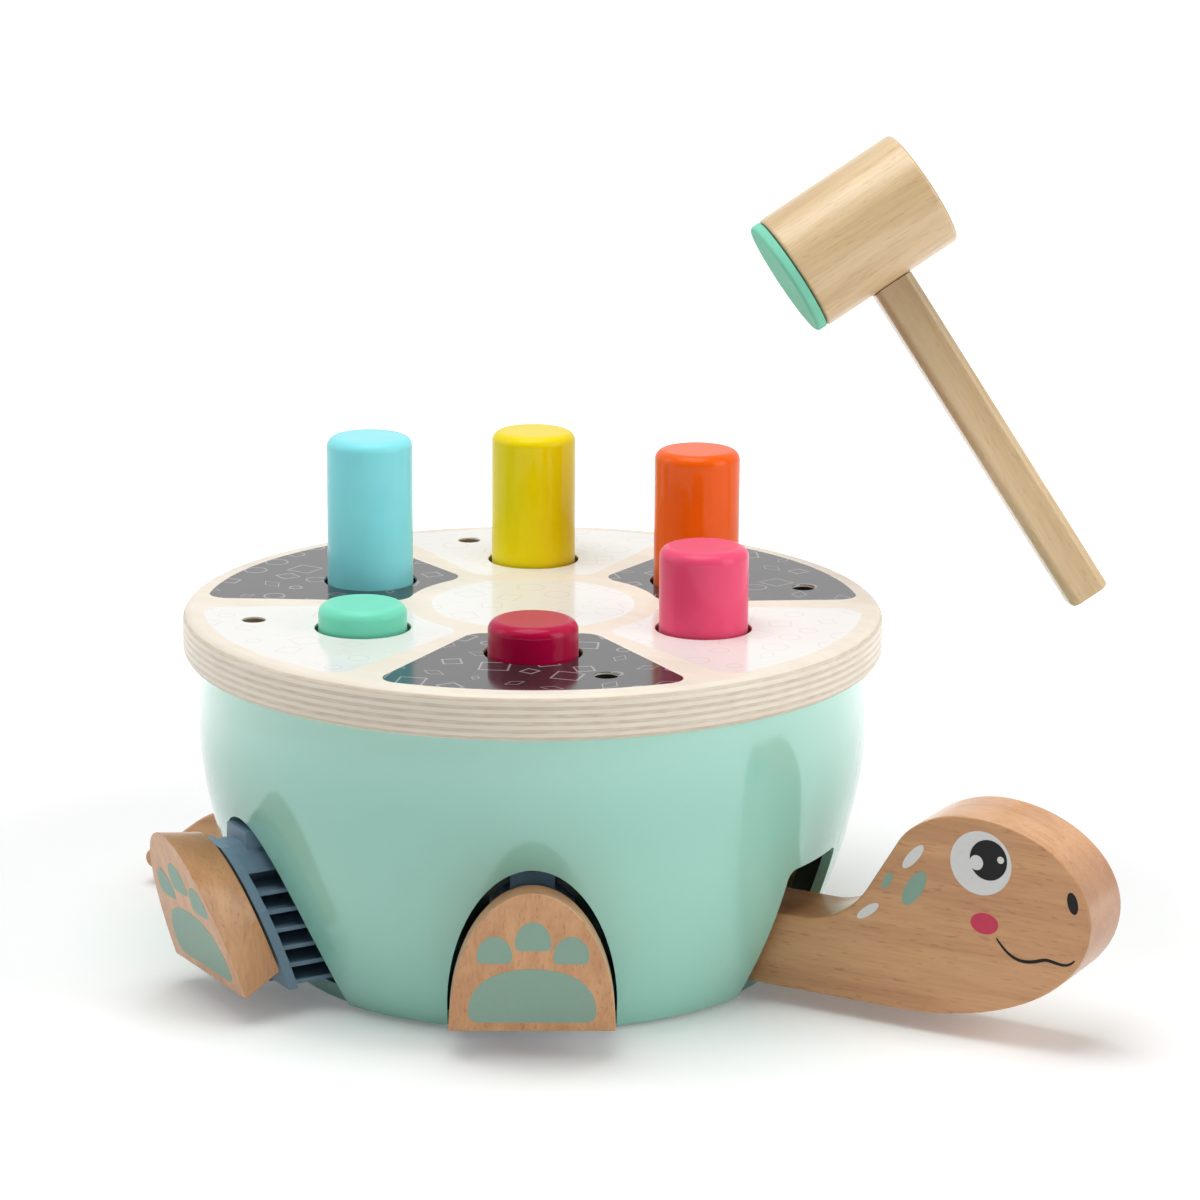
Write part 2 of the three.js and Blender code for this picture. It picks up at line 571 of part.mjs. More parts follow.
function foot() {
  const face = footFace(FOOT_BOTTOM);
  const block = outwards(arch(FOOT_WIDTH / 2, FOOT_BOTTOM, FOOT_HEIGHT, FOOT_BOTTOM),
    face - FOOT_THICKNESS, face, footSlope, FOOT_BOTTOM).warp((point) => {
    const share = (point[2] - FOOT_BOTTOM) / FOOT_HEIGHT;
    const depth = footFace(point[2]) - point[0];
    const drop = FOOT_CROWN_DROP * share * depth / FOOT_THICKNESS;
    point[0] -= drop * footSlope;
    point[2] -= drop;
  });
  const underside = polygon([
    [face + OVERLAP, FOOT_BOTTOM - OVERLAP * FOOT_RISE / FOOT_THICKNESS],
    [face - 2 * FOOT_THICKNESS, FOOT_BOTTOM + 2 * FOOT_RISE],
    [face - 2 * FOOT_THICKNESS, FOOT_BOTTOM - FOOT_RISE],
    [face + OVERLAP, FOOT_BOTTOM - FOOT_RISE],
  ]);
  const sockets = spigotHeights.map((z) => {
    const back = footFace(z) - FOOT_THICKNESS;
    const end = back + SPIGOT_DEPTH + SEAT_GAP;
    return spigot(SPIGOT_DIAMETER / 2 + SEAT_GAP, back - FOOT_THICKNESS / 2, end, z);
  });
  return cut(block, [onEdge(underside, 2 * FOOT_WIDTH), ...sockets]);
}

// Outlines of the head and the tail start at the neck's inner end

function headOutline() {
  const chin = degrees(-75);
  const crown = degrees(100);
  const chinX = HEAD_REACH + HEAD_RADIUS * Math.cos(chin);
  const chinZ = HEAD_HEIGHT + HEAD_RADIUS * Math.sin(chin);
  const crownX = HEAD_REACH + HEAD_RADIUS * Math.cos(crown);
  const crownZ = HEAD_HEIGHT + HEAD_RADIUS * Math.sin(crown);
  const reach = HEAD_RADIUS / 2; // length of the curves' handles
  const nape = [NAPE_REACH - NAPE_RUN, NAPE_HEIGHT - NAPE_DROP];
  const shape = new THREE.Shape();
  shape.moveTo(0, NECK_BOTTOM);
  shape.lineTo(THROAT_REACH, NECK_BOTTOM);
  shape.bezierCurveTo(THROAT_REACH + reach, NECK_BOTTOM,
    chinX + reach * Math.sin(chin), chinZ - reach * Math.cos(chin), chinX, chinZ);
  shape.absarc(HEAD_REACH, HEAD_HEIGHT, HEAD_RADIUS, chin, crown, false);
  shape.bezierCurveTo(crownX - reach * Math.sin(crown) * 0.75, crownZ + reach * Math.cos(crown) * 0.75,
    NAPE_REACH + reach * 0.35, NAPE_HEIGHT + reach * 0.5, NAPE_REACH, NAPE_HEIGHT);
  shape.lineTo(...nape);
  shape.bezierCurveTo(nape[0] - NAPE_RUN / 2, nape[1] - NAPE_DROP / 2,
    NECK_LENGTH + NAPE_RUN, NECK_TOP, NECK_LENGTH, NECK_TOP);
  shape.lineTo(0, NECK_TOP);
  return shape;
}

function tailOutline() {
  const tip = TAIL_LENGTH - TAIL_TIP;
  const tipTop = NECK_BOTTOM + 2 * TAIL_TIP;
  const shape = new THREE.Shape();
  shape.moveTo(0, NECK_BOTTOM);
  shape.lineTo(tip, NECK_BOTTOM);
  shape.absarc(tip, NECK_BOTTOM + TAIL_TIP, TAIL_TIP, -Math.PI / 2, Math.PI / 2, false);
  shape.bezierCurveTo((tip + TAIL_BACK) / 2, (tipTop + NECK_TOP) / 2,
    (tip + 2 * TAIL_BACK) / 3, NECK_TOP, TAIL_BACK, NECK_TOP);
  shape.lineTo(0, NECK_TOP);
  return shape;
}

function neckBoard(outline) {
  const socketHeight = (NECK_BOTTOM + NECK_TOP) / 2;
  const socket = spigot(SPIGOT_DIAMETER / 2 + SEAT_GAP, NECK_START - OVERLAP,
    NECK_START + SPIGOT_DEPTH + SEAT_GAP, socketHeight);
  return onEdge(outline, BOARD_THICKNESS).translate([NECK_START, 0, 0]).subtract(socket);
}

// Mallet, with its grip end at the origin and its handle along Z; the head lies along X, pad at the low end

function malletHead() {
  const half = MALLET_HEAD_LENGTH / 2;
  const radius = MALLET_HEAD_DIAMETER / 2;
  const edge = MALLET_HEAD_EDGE;
  const barrel = turned([[0, -half], [radius - edge, -half], [radius, -half + edge], [radius, half - edge],
    [radius - edge, half], [0, half]], PEG_SIDES).rotate([0, 90, 0]).translate([0, 0, MALLET_LENGTH]);
  const socketTop = MALLET_LENGTH - radius + TENON_DEPTH + SEAT_GAP;
  const socketStart = MALLET_LENGTH - 2 * radius;
  return barrel.subtract(upright(TENON_DIAMETER / 2 + SEAT_GAP, socketStart, socketTop, SCREW_SIDES));
}

function malletPad() {
  const radius = MALLET_PAD_DIAMETER / 2;
  const start = MALLET_HEAD_LENGTH / 2 + SEAT_GAP;
  return upright(radius, start, start + MALLET_PAD_THICKNESS, PEG_SIDES).rotate([0, -90, 0])
    .translate([0, 0, MALLET_LENGTH]);
}

function malletHandle() {
  const half = HANDLE_WIDTH / 2;
  const inner = half - HANDLE_EDGE;
  const section = new THREE.Shape();
  for (const [x, y, start] of [[1, 1, 0], [-1, 1, 90], [-1, -1, 180], [1, -1, 270]]) {
    section.absarc(x * inner, y * inner, HANDLE_EDGE, degrees(start), degrees(start + 90), false);
  }
  const radius = MALLET_HEAD_DIAMETER / 2;
  const bar = toSolid(new THREE.ExtrudeGeometry(section,
    { depth: MALLET_LENGTH, bevelEnabled: false, curveSegments: 4 }));
  const seat = upright(radius + SEAT_GAP, -MALLET_HEAD_LENGTH, MALLET_HEAD_LENGTH, PEG_SIDES)
    .rotate([0, 90, 0]).translate([0, 0, MALLET_LENGTH]);
  const tenonStart = MALLET_LENGTH - radius - HANDLE_WIDTH;
  const tenonEnd = MALLET_LENGTH - radius + TENON_DEPTH;
  return bar.subtract(seat).add(upright(TENON_DIAMETER / 2, tenonStart, tenonEnd, SCREW_SIDES));
}

// The toy

const toy = new THREE.Group();
toy.add(toMesh('top_plate', topPlate(), PLYWOOD));
toy.add(toMesh('guide_frame', guideFrame(), LINKAGE_PLASTIC));
toy.add(toMesh('shell', shell(), MINT_PLASTIC));
toy.add(toMesh('base_plate', basePlate(), MINT_PLASTIC));

const plateScrewSeat = PLATE_TOP - PLATE_SCREW_SUNK + SEAT_GAP;
const plateScrewLength = plateScrewSeat - POST_TOP + PLATE_SCREW_BITE;
plateScrewBearings.forEach((bearing, i) => {
  const mesh = toMesh(`plate_screw_${i + 1}`, screw(plateScrewLength), STEEL);
  mesh.position.set(PLATE_SCREW_REACH, 0, plateScrewSeat).applyAxisAngle(UP, degrees(bearing));
  toy.add(mesh);
});

const baseScrewLength = BASE_THICKNESS + SEAT_GAP + BASE_SCREW_BITE - baseScrewSeat;
baseScrewBearings.forEach((bearing, i) => {
  const mesh = toMesh(`base_screw_${i + 1}`, screw(baseScrewLength), STEEL);
  mesh.position.set(BASE_SCREW_REACH, 0, baseScrewSeat - SEAT_GAP).applyAxisAngle(UP, degrees(bearing));
  mesh.rotation.x = Math.PI;
  toy.add(mesh);
});

const footSolid = foot();
const limbs = {
  head: { mount: neckMount, board: neckBoard(headOutline()), carrier: neckCarrier() },
  tail: { mount: neckMount, board: neckBoard(tailOutline()), carrier: neckCarrier() },
  frontFoot: { mount: frontFootMount, board: footSolid, carrier: footCarrier(frontFootMount) },
  rearFoot: { mount: rearFootMount, board: footSolid, carrier: footCarrier(rearFootMount) },
};
const limbNames = { head: 'turtle_head', tail: 'turtle_tail' };
const stemScrewLength = STEM_FLANGE + SEAT_GAP * 2 + STEM_SCREW_BITE;
const pinLength = 2 * (PRONG_INNER + PRONG_THICKNESS);

STATIONS.forEach(({ name, limb, pressed, colour }, i) => {
  const station = new THREE.Group();
  station.rotation.z = degrees(stationBearings[i]);
  toy.add(station);

  const { mount, board, carrier } = limbs[limb];
  const pegGroup = new THREE.Group();
  pegGroup.position.z = -pressed * PEG_TRAVEL;
  pegGroup.add(toMesh(`${name}_peg`, peg(), finish(colour, 0.3)));
  pegGroup.add(toMesh(`${name}_stem`, stem(), LINKAGE_PLASTIC));
  pegGroup.add(toMesh(`${name}_pin`, crossPin(PIN_DIAMETER / 2, pinLength), STEEL));
  const stemScrew = toMesh(`${name}_stem_screw`, screw(stemScrewLength), STEEL);
  stemScrew.position.set(PEG_REACH, 0, flangeBottom - SEAT_GAP);
  stemScrew.rotation.x = Math.PI;
  pegGroup.add(stemScrew);
  station.add(pegGroup);

  const limbGroup = new THREE.Group();
  limbGroup.position.x = pressed * mount.travel;
  limbGroup.add(toMesh(`${name}_carrier`, carrier, LINKAGE_PLASTIC));
  limbGroup.add(toMesh(limbNames[name] ?? name, board, BEECH));
  station.add(limbGroup);
});

const mallet = new THREE.Group();
mallet.position.set(MALLET_REACH, 0, MALLET_GRIP_HEIGHT).applyAxisAngle(UP, degrees(MALLET_BEARING));
mallet.rotation.set(0, degrees(-MALLET_LEAN), degrees(MALLET_YAW), 'ZYX');
const malletTurn = new THREE.Group();
malletTurn.rotation.z = degrees(MALLET_TURN);
malletTurn.add(toMesh('mallet_head', malletHead(), MALLET_BEECH));
malletTurn.add(toMesh('mallet_pad', malletPad(), MALLET_RUBBER));
malletTurn.add(toMesh('mallet_handle', malletHandle(), MALLET_BEECH));
mallet.add(malletTurn);
toy.add(mallet);

export default toy;
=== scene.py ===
# Turtle pounding toy with a mallet. Six painted pegs stand in a printed plywood top, and each one drives the
# head, a foot or the tail of a wooden turtle in and out of a glossy drum. Metres, +Z up; the turtle looks
# along +X, and its right side faces the camera.

import json
import math

import bmesh
import bpy
from bpy.props import FloatProperty, FloatVectorProperty, PointerProperty
from mathutils import Matrix, Vector
from mathutils.geometry import interpolate_bezier


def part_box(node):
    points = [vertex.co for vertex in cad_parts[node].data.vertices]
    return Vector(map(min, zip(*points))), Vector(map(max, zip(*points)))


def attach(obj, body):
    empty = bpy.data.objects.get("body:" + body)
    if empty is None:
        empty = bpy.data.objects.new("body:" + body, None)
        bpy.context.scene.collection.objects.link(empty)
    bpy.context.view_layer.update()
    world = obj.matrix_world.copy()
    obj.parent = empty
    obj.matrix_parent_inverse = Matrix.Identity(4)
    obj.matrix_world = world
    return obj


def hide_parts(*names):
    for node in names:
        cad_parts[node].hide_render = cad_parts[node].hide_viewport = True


bl_info = {
    "name": "Turtle pounding toy",
    "version": (1, 0, 0),
    "blender": (4, 5, 0),
    "location": "View3D > Sidebar > Toy",
    "description": "Builds a turtle pounding toy and its mallet round the packed solids",
    "category": "Add Mesh",
}

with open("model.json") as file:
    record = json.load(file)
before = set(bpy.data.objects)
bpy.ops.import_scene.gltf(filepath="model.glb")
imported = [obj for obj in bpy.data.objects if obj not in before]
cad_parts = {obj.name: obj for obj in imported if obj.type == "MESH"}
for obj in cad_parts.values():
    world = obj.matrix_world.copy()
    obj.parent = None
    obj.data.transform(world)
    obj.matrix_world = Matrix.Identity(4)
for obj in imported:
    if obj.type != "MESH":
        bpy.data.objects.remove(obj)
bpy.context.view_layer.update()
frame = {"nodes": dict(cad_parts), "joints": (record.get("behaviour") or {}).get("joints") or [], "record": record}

MM = 0.001
JOINTS = {joint["name"]: joint for joint in frame["joints"]}
STATIONS = [name.removesuffix("_peg_slide") for name in JOINTS if name.endswith("_peg_slide")]
FEET = [station for station in STATIONS if station.endswith("foot")]
PEG_SLOTS = {part["node"]: part["material_slot"] for part in frame["record"]["subparts"]}

WELD = 1e-6  # points nearer than this are one point
SMOOTH_ANGLE = math.radians(32)  # sharper edges than this stay sharp
ROUND_STEPS = 192  # round the plate and the drum
PEG_STEPS = 96
SCREW_STEPS = 48
EDGE_STEPS = 6  # across a rounded edge
WALL_STEPS = 24  # up the drum's wall
INK_DEPTH = 0.04 * MM  # of one layer of printing ink
NECK_CORNER = 3 * MM  # rounding of the upper corners of the openings for the head and the tail
RECESS_HALF_LENGTH = 1.6 * MM  # of the cross in a screw's head
RECESS_HALF_WIDTH = 0.35 * MM
RECESS_DEPTH = 1.4 * MM


def linear(hex_value):
    """An sRGB hex colour as linear red, green, blue and alpha."""
    channels = [int(hex_value[i:i + 2], 16) / 255 for i in (1, 3, 5)]
    return [c / 12.92 if c <= 0.04045 else ((c + 0.055) / 1.055) ** 2.4 for c in channels] + [1.0]


def length(name, description, millimetres):
    """A size property, given in millimetres."""
    return FloatProperty(name=name, description=description, default=millimetres * MM, unit="LENGTH",
                         precision=5)


def colour(name, description, hex_value):
    """A colour property, given as sRGB hex."""
    return FloatVectorProperty(name=name, description=description, subtype="COLOR", size=4, min=0, max=1,
                               default=linear(hex_value))


class ToySizes(bpy.types.PropertyGroup):
    """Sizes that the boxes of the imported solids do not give"""
    plate_edge: length("Plate edge", "Rounding of the plate's rim", 3)
    hole_edge: length("Hole edge", "Rounding of the plate's peg holes", 0.5)
    hole_gap: length("Hole gap", "Space round a peg in the plate", 1)
    peg_edge: length("Peg edge", "Rounding of a peg's upper edge", 3)
    screw_sink: length("Screw sink", "Depth of the sunk holes for the plate screws", 5)
    screw_head: length("Screw head", "Diameter of a screw's head", 6)
    screw_head_height: length("Screw head height", "Height of a screw's head", 2.2)
    screw_shank: length("Screw shank", "Diameter of a screw's shank", 3)
    shell_base: length("Drum base", "Diameter of the drum at its lower edge", 152)
    shell_upright: length("Drum upright", "Height above which the drum's wall is upright", 80)
    shell_wall: length("Drum wall", "Thickness of the drum's wall", 2.8)
    foot_gap: length("Foot gap", "Space round a foot in its opening", 0.8)
    neck_gap: length("Neck gap", "Space beside the head and the tail in their openings", 4.2)
    neck_opening_top: length("Neck opening top", "Height of the openings for the head and the tail", 40.6)
    foot_width: length("Foot width", "Width of a foot", 45)
    foot_height: length("Foot height", "Height of a foot", 43.8)
    foot_crown_drop: length("Foot crown drop", "Fall of a foot's arch from front to back", 2)
    foot_thickness: length("Foot thickness", "Thickness of a foot, measured level", 12.6)
    foot_bottom: length("Foot bottom", "Height of a foot's lower front edge", 8)
    foot_rise: length("Foot rise", "Rise of a foot's underside from front to back", 7.5)
    foot_inset: length("Foot inset", "How far a pulled-in foot lies behind the drum's surface", 1.9)
    foot_edge: length("Foot edge", "Rounding of a foot's edges", 0.6)
    foot_lean: FloatProperty(name="Foot lean", description="Lean of a foot's face", subtype="ANGLE",
                             default=math.radians(18.3))
    board_thickness: length("Board thickness", "Thickness of the head and the tail", 22)
    board_edge: length("Board edge", "Rounding of the edges of the head and the tail", 0.7)
    neck_start: length("Neck start", "Inner end of a pulled-in neck, from the middle of the toy", 62)
    neck_bottom: length("Neck bottom", "Height of the neck's underside", 5.3)
    neck_top: length("Neck top", "Height of the neck's upper side", 26.9)
    handle_width: length("Handle width", "Width of the mallet's handle", 12.5)
    handle_edge: length("Handle edge", "Rounding of the handle's long edges", 3)
    mallet_head: length("Mallet head", "Diameter of the mallet's head", 36)
    mallet_head_length: length("Mallet head length", "Length of the mallet's head", 45)
    mallet_head_edge: length("Mallet head edge", "Rounding of the head's edges", 1.2)
    mallet_pad: length("Mallet pad", "Diameter of the mallet's pad", 35.4)
    mallet_pad_thickness: length("Mallet pad thickness", "Thickness of the mallet's pad", 3)
    tenon: length("Tenon", "Diameter of the handle's tenon", 9)
    tenon_depth: length("Tenon depth", "Length of the tenon in the head", 24)
    seat_gap: length("Seat gap", "Space between pieces that are fastened together", 0.3)


class ToyColours(bpy.types.PropertyGroup):
    """Colours of the toy's finishes"""
    mint_plastic: colour("Drum", "Moulded mint drum and base", "#9EDCCB")
    blue_grey_plastic: colour("Linkage", "Moulded blue-grey linkage", "#7794A8")
    birch: colour("Birch", "Face of the plywood", "#F2E8D8")
    birch_end: colour("Birch end grain", "Darker layers in the plywood's edge", "#CFBDA5")
    # painted shade: the wood inside the plate's holes, much darker than bare birch, and almost black in the dark
    # panels
    birch_raw: colour("Bare birch", "Bare wood inside the plate's holes", "#8C7A62")
    birch_inked: colour("Inked birch", "Wood inside the holes of the dark panels", "#1E1813")
    panel_white: colour("Pale panel", "Printed pale panels", "#F2F0EB")
    panel_dark: colour("Dark panel", "Printed dark panels", "#2E2A2D")
    pale_panel_line: colour("Pale panel's lines", "Line motifs on the pale panels", "#D9C9CF")
    dark_panel_line: colour("Dark panel's lines", "Line motifs on the dark panels", "#B8B4B6")
    beech: colour("Beech", "Wood of the turtle", "#DCA471")
    beech_dark: colour("Beech grain", "Darker grain of the turtle's wood", "#BB7F4F")
    mallet_beech: colour("Mallet beech", "Wood of the mallet", "#E2C69A")
    mallet_beech_dark: colour("Mallet grain", "Darker grain of the mallet's wood", "#C4A170")
    pink_paint: colour("Pink", "Pink peg", "#F8527C")
    orange_paint: colour("Orange", "Orange peg", "#FF6405")
    yellow_paint: colour("Yellow", "Yellow peg", "#FFE400")
    light_blue_paint: colour("Light blue", "Light blue peg", "#8FF0F8")
    mint_paint: colour("Mint", "Mint peg", "#7CEBC9")
    crimson_paint: colour("Crimson", "Crimson peg", "#BE0042")
    mint_ink: colour("Mint ink", "Printed paws and spots", "#93B3A2")
    white_ink: colour("White ink", "Printed eye and spots", "#EDEBEA")
    black_ink: colour("Black ink", "Printed pupil, nostril and mouth", "#050606")
    pink_ink: colour("Pink ink", "Printed cheek", "#D8415F")
    foam: colour("Pad", "Mallet's pad", "#86DDBE")
    # darker than plated steel: painted shade for the screw heads sunk in the plate's holes
    steel: colour("Steel", "Screws and pins", "#94928E")


# Materials


def add(tree, kind, inputs=None, **settings):
    """Adds a shader node; inputs gives each socket a value or the socket that it is linked to."""
    node = tree.nodes.new(kind)
    for key, value in settings.items():
        setattr(node, key, value)
    for key, value in (inputs or {}).items():
        if isinstance(value, bpy.types.NodeSocket):
            tree.links.new(value, node.inputs[key])
        else:
            node.inputs[key].default_value = value
    return node


def own_place(tree):
    """A point's place in its piece's own axes."""
    return add(tree, "ShaderNodeTexCoord").outputs["Object"]


def attribute(tree, name):
    """Outputs of a mesh attribute."""
    return add(tree, "ShaderNodeAttribute", attribute_name=name, attribute_type="GEOMETRY").outputs


# Each of these adds a node to the tree of its first socket, and gives the node's result.


def maths(operation, *values, **settings):
    """What a Math node gives for sockets or values."""
    node = add(values[0].id_data, "ShaderNodeMath", dict(enumerate(values)), operation=operation, **settings)
    return node.outputs["Value"]


def vectors(operation, *values):
    """What a Vector Math node gives: a vector, or a number for a length or a dot product."""
    node = add(values[0].id_data, "ShaderNodeVectorMath", dict(enumerate(values)), operation=operation)
    return node.outputs["Value" if operation in ("LENGTH", "DOT_PRODUCT") else "Vector"]


def split(vector):
    """A vector's X, Y and Z."""
    return add(vector.id_data, "ShaderNodeSeparateXYZ", {"Vector": vector}).outputs


def joined(x, y):
    """A flat vector of X and Y."""
    return add(x.id_data, "ShaderNodeCombineXYZ", {"X": x, "Y": y}).outputs["Vector"]


def scaled(place, scale):
    """A place with scaled axes: patterns grow along an axis that shrinks."""
    return add(place.id_data, "ShaderNodeMapping", {"Vector": place, "Scale": scale}).outputs["Vector"]


def noise(place, millimetres, detail, distortion=0.0):
    """Noise with features of about that size."""
    inputs = {"Vector": place, "Scale": 1 / (millimetres * MM), "Detail": detail, "Distortion": distortion}
    return add(place.id_data, "ShaderNodeTexNoise", inputs).outputs["Fac"]


def ramp(value, start, end, low=0.0, high=1.0, shape="LINEAR"):
    """A value from start to end, carried over to low to high and held there."""
    inputs = {"Value": value, "From Min": start, "From Max": end, "To Min": low, "To Max": high}
    return add(value.id_data, "ShaderNodeMapRange", inputs, interpolation_type=shape).outputs["Result"]


def blend(factor, first, second, kind="RGBA"):
    """A mix of two colours, or of two numbers."""
    inputs = {"Factor": factor, "A": first, "B": second}
    return add(factor.id_data, "ShaderNodeMix", inputs, data_type=kind).outputs["Result"]


def bump(height, strength, millimetres, **settings):
    """The surface's normal over bumps of that depth."""
    inputs = {"Height": height, "Strength": strength, "Distance": millimetres * MM}
    return add(height.id_data, "ShaderNodeBump", inputs, **settings).outputs["Normal"]


def darker(tint, share):
    """A colour times a share."""
    return [c * share for c in tint[:3]] + [1]


def node_material(surface):
    """Turns a function that gives the surface shader's inputs into one that makes a named material."""
    def make(name, *values, **settings):
        material = bpy.data.materials.new(name)
        material.use_nodes = True
        tree = material.node_tree
        tree.nodes.clear()
        shader = add(tree, "ShaderNodeBsdfPrincipled", surface(tree, *values, **settings))
        add(tree, "ShaderNodeOutputMaterial", {"Surface": shader.outputs["BSDF"]})
        return material
    return make


@node_material
def moulded_plastic(tree, tint, roughness, skin_mm, skin_depth_mm, polish=0.0):
    """Injection-moulded plastic: even colour with a faint flow pattern, and a skin of fine ripples.
    A polished mould leaves a clear gloss, in which the floor and the feet show."""
    place = own_place(tree)
    flow = noise(place, 40, 2.0)
    skin = noise(place, skin_mm, 3.0)
    return {"Base Color": blend(flow, darker(tint, 0.96), tint),
            "Roughness": ramp(flow, 0, 1, roughness * 0.8, roughness * 1.2),
            "Normal": bump(skin, 0.35, skin_depth_mm), "IOR": 1.53,
            "Coat Weight": polish, "Coat Roughness": 0.06, "Coat IOR": 1.6}


@node_material
def gloss_paint(tree, tint):
    """Dipped gloss paint on turned wood: strong colour, a soft sheen, and the wood's lines under the coat."""
    place = own_place(tree)
    lines = noise(scaled(place, (1, 1, 0.08)), 1.1, 3.0)
    sag = noise(place, 9, 2.0)
    return {"Base Color": blend(sag, darker(tint, 0.93), tint),
            "Roughness": ramp(lines, 0, 1, 0.32, 0.44),
            "Normal": bump(lines, 0.2, 0.05), "IOR": 1.48, "Specular IOR Level": 0.05,
            "Coat Weight": 0.25, "Coat Roughness": 0.06,
            "Sheen Weight": 0.3, "Sheen Roughness": 0.35}


@node_material
def sanded_beech(tree, tint, dark, fleck_share):
    """Sanded beech under a thin clear coat: broad soft bands along the grain, short dark ray flecks, and
    darker wood where the grain is cut across."""
    grain = attribute(tree, "grain")["Vector"]
    # bands about 6 mm apart and fibres of 0.7 mm, both many times longer than wide; flecks 5 mm long
    lengthwise = scaled(grain, (0.07, 1, 1))
    bands = noise(lengthwise, 6, 3.0, 0.4)
    fibres = noise(lengthwise, 0.7, 2.0)
    flecks = noise(scaled(grain, (0.16, 1, 1)), 0.8, 1.0)
    soft = ramp(bands, 0.35, 0.7, 0, 0.55, "SMOOTHSTEP")
    fine = ramp(fibres, 0.4, 0.75, 0, 0.3)
    spots = ramp(flecks, 0.62, 0.72, 0, fleck_share, "SMOOTHSTEP")
    depth = maths("ADD", maths("ADD", soft, fine), spots, use_clamp=True)
    side = blend(depth, tint, dark)
    # end grain drinks the finish and is darker
    cut = ramp(attribute(tree, "end_grain")["Fac"], 0.5, 0.95, 0, 0.6, "SMOOTHSTEP")
    return {"Base Color": blend(cut, side, darker(dark, 0.6)),
            "Roughness": ramp(fibres, 0, 1, 0.38, 0.58),
            "Normal": bump(depth, 0.25, 0.08, invert=True), "IOR": 1.5,
            "Coat Weight": 0.55, "Coat Roughness": 0.2}


@node_material
def printing_ink(tree, tint):
    """Screen-printed ink on wood: flat colour, a little uneven where the grain takes it up."""
    uneven = noise(own_place(tree), 1.2, 3.0)
    return {"Base Color": blend(uneven, darker(tint, 0.9), tint), "Roughness": 0.42,
            "Normal": bump(uneven, 0.15, 0.03), "IOR": 1.48, "Specular IOR Level": 0.3}


@node_material
def closed_cell_foam(tree, tint):
    """Closed-cell foam: matt, with a fine skin of cells."""
    place = own_place(tree)
    cells = add(tree, "ShaderNodeTexVoronoi", {"Vector": place, "Scale": 1 / (0.7 * MM)}).outputs["Distance"]
    cloud = noise(place, 6, 3.0)
    return {"Base Color": blend(cloud, darker(tint, 0.9), tint), "Roughness": 0.72,
            "Normal": bump(cells, 0.3, 0.12), "IOR": 1.45}


@node_material
def plated_steel(tree, tint):
    """Zinc-plated steel: metal with a fine turned texture, its tone darkened as painted shade for the screws sunk
    in the plate.
    """
    turned = noise(own_place(tree), 0.4, 2.0)
    return {"Base Color": tint, "Metallic": 1.0, "Roughness": ramp(turned, 0, 1, 0.2, 0.42)}


# Plate: its layers, the place of the printed panels in polar sizes, and the loose grid of line motifs
PLY_PITCH = 2.1 * MM  # one pale and one darker layer
PLY_WAVE = 0.35 * MM
FACE_PLY = 1.0 * MM  # the pale upper layer
FACE_CLEAR = 0.6 * MM  # the part of it without any darker wood
PRINT_DEPTH = 0.2 * MM
PRINT_BLUR = 0.12 * MM  # to each side of a panel's edge
PANEL_INNER = 36 * MM
PANEL_OUTER = 94 * MM
PANEL_HALF_SPAN = math.radians(26.7)
PANEL_CORNER = 6 * MM
HUB_REACH = 29 * MM  # of the round pale panel in the middle
MOTIF_PITCH = 11.5 * MM
MOTIF_SCATTER = 0.45
MOTIF_SIZES = 1.7 * MM, 4.0 * MM
MOTIF_LINE = 0.28 * MM  # half the width of a printed line
RINGS_TO, SQUARES_TO = 0.3, 0.62  # shares of the motifs; the rest are lozenges
LOZENGE_LENGTH = 1.7  # times its width


def panel_distance(place):
    """Distance from the edge of the nearest printed panel, negative inside, the bearing and the reach."""
    part = split(place)
    reach = vectors("LENGTH", joined(part["X"], part["Y"]))
    bearing = maths("ARCTAN2", part["Y"], part["X"])
    half_sector = math.pi / len(STATIONS)
    off = maths("ABSOLUTE", maths("WRAP", bearing, half_sector, -half_sector))
    past = maths("SUBTRACT", off, PANEL_HALF_SPAN)
    across = maths("MULTIPLY_ADD", past, reach, PANEL_CORNER)
    from_middle = maths("ABSOLUTE", maths("SUBTRACT", reach, (PANEL_INNER + PANEL_OUTER) / 2))
    out = maths("SUBTRACT", from_middle, (PANEL_OUTER - PANEL_INNER) / 2 - PANEL_CORNER)
    beyond = vectors("MAXIMUM", joined(out, across), (0, 0, 0))
    wedge = maths("SUBTRACT", vectors("LENGTH", beyond), PANEL_CORNER)
    hub = maths("SUBTRACT", reach, HUB_REACH)
    return maths("MINIMUM", wedge, hub), bearing, reach


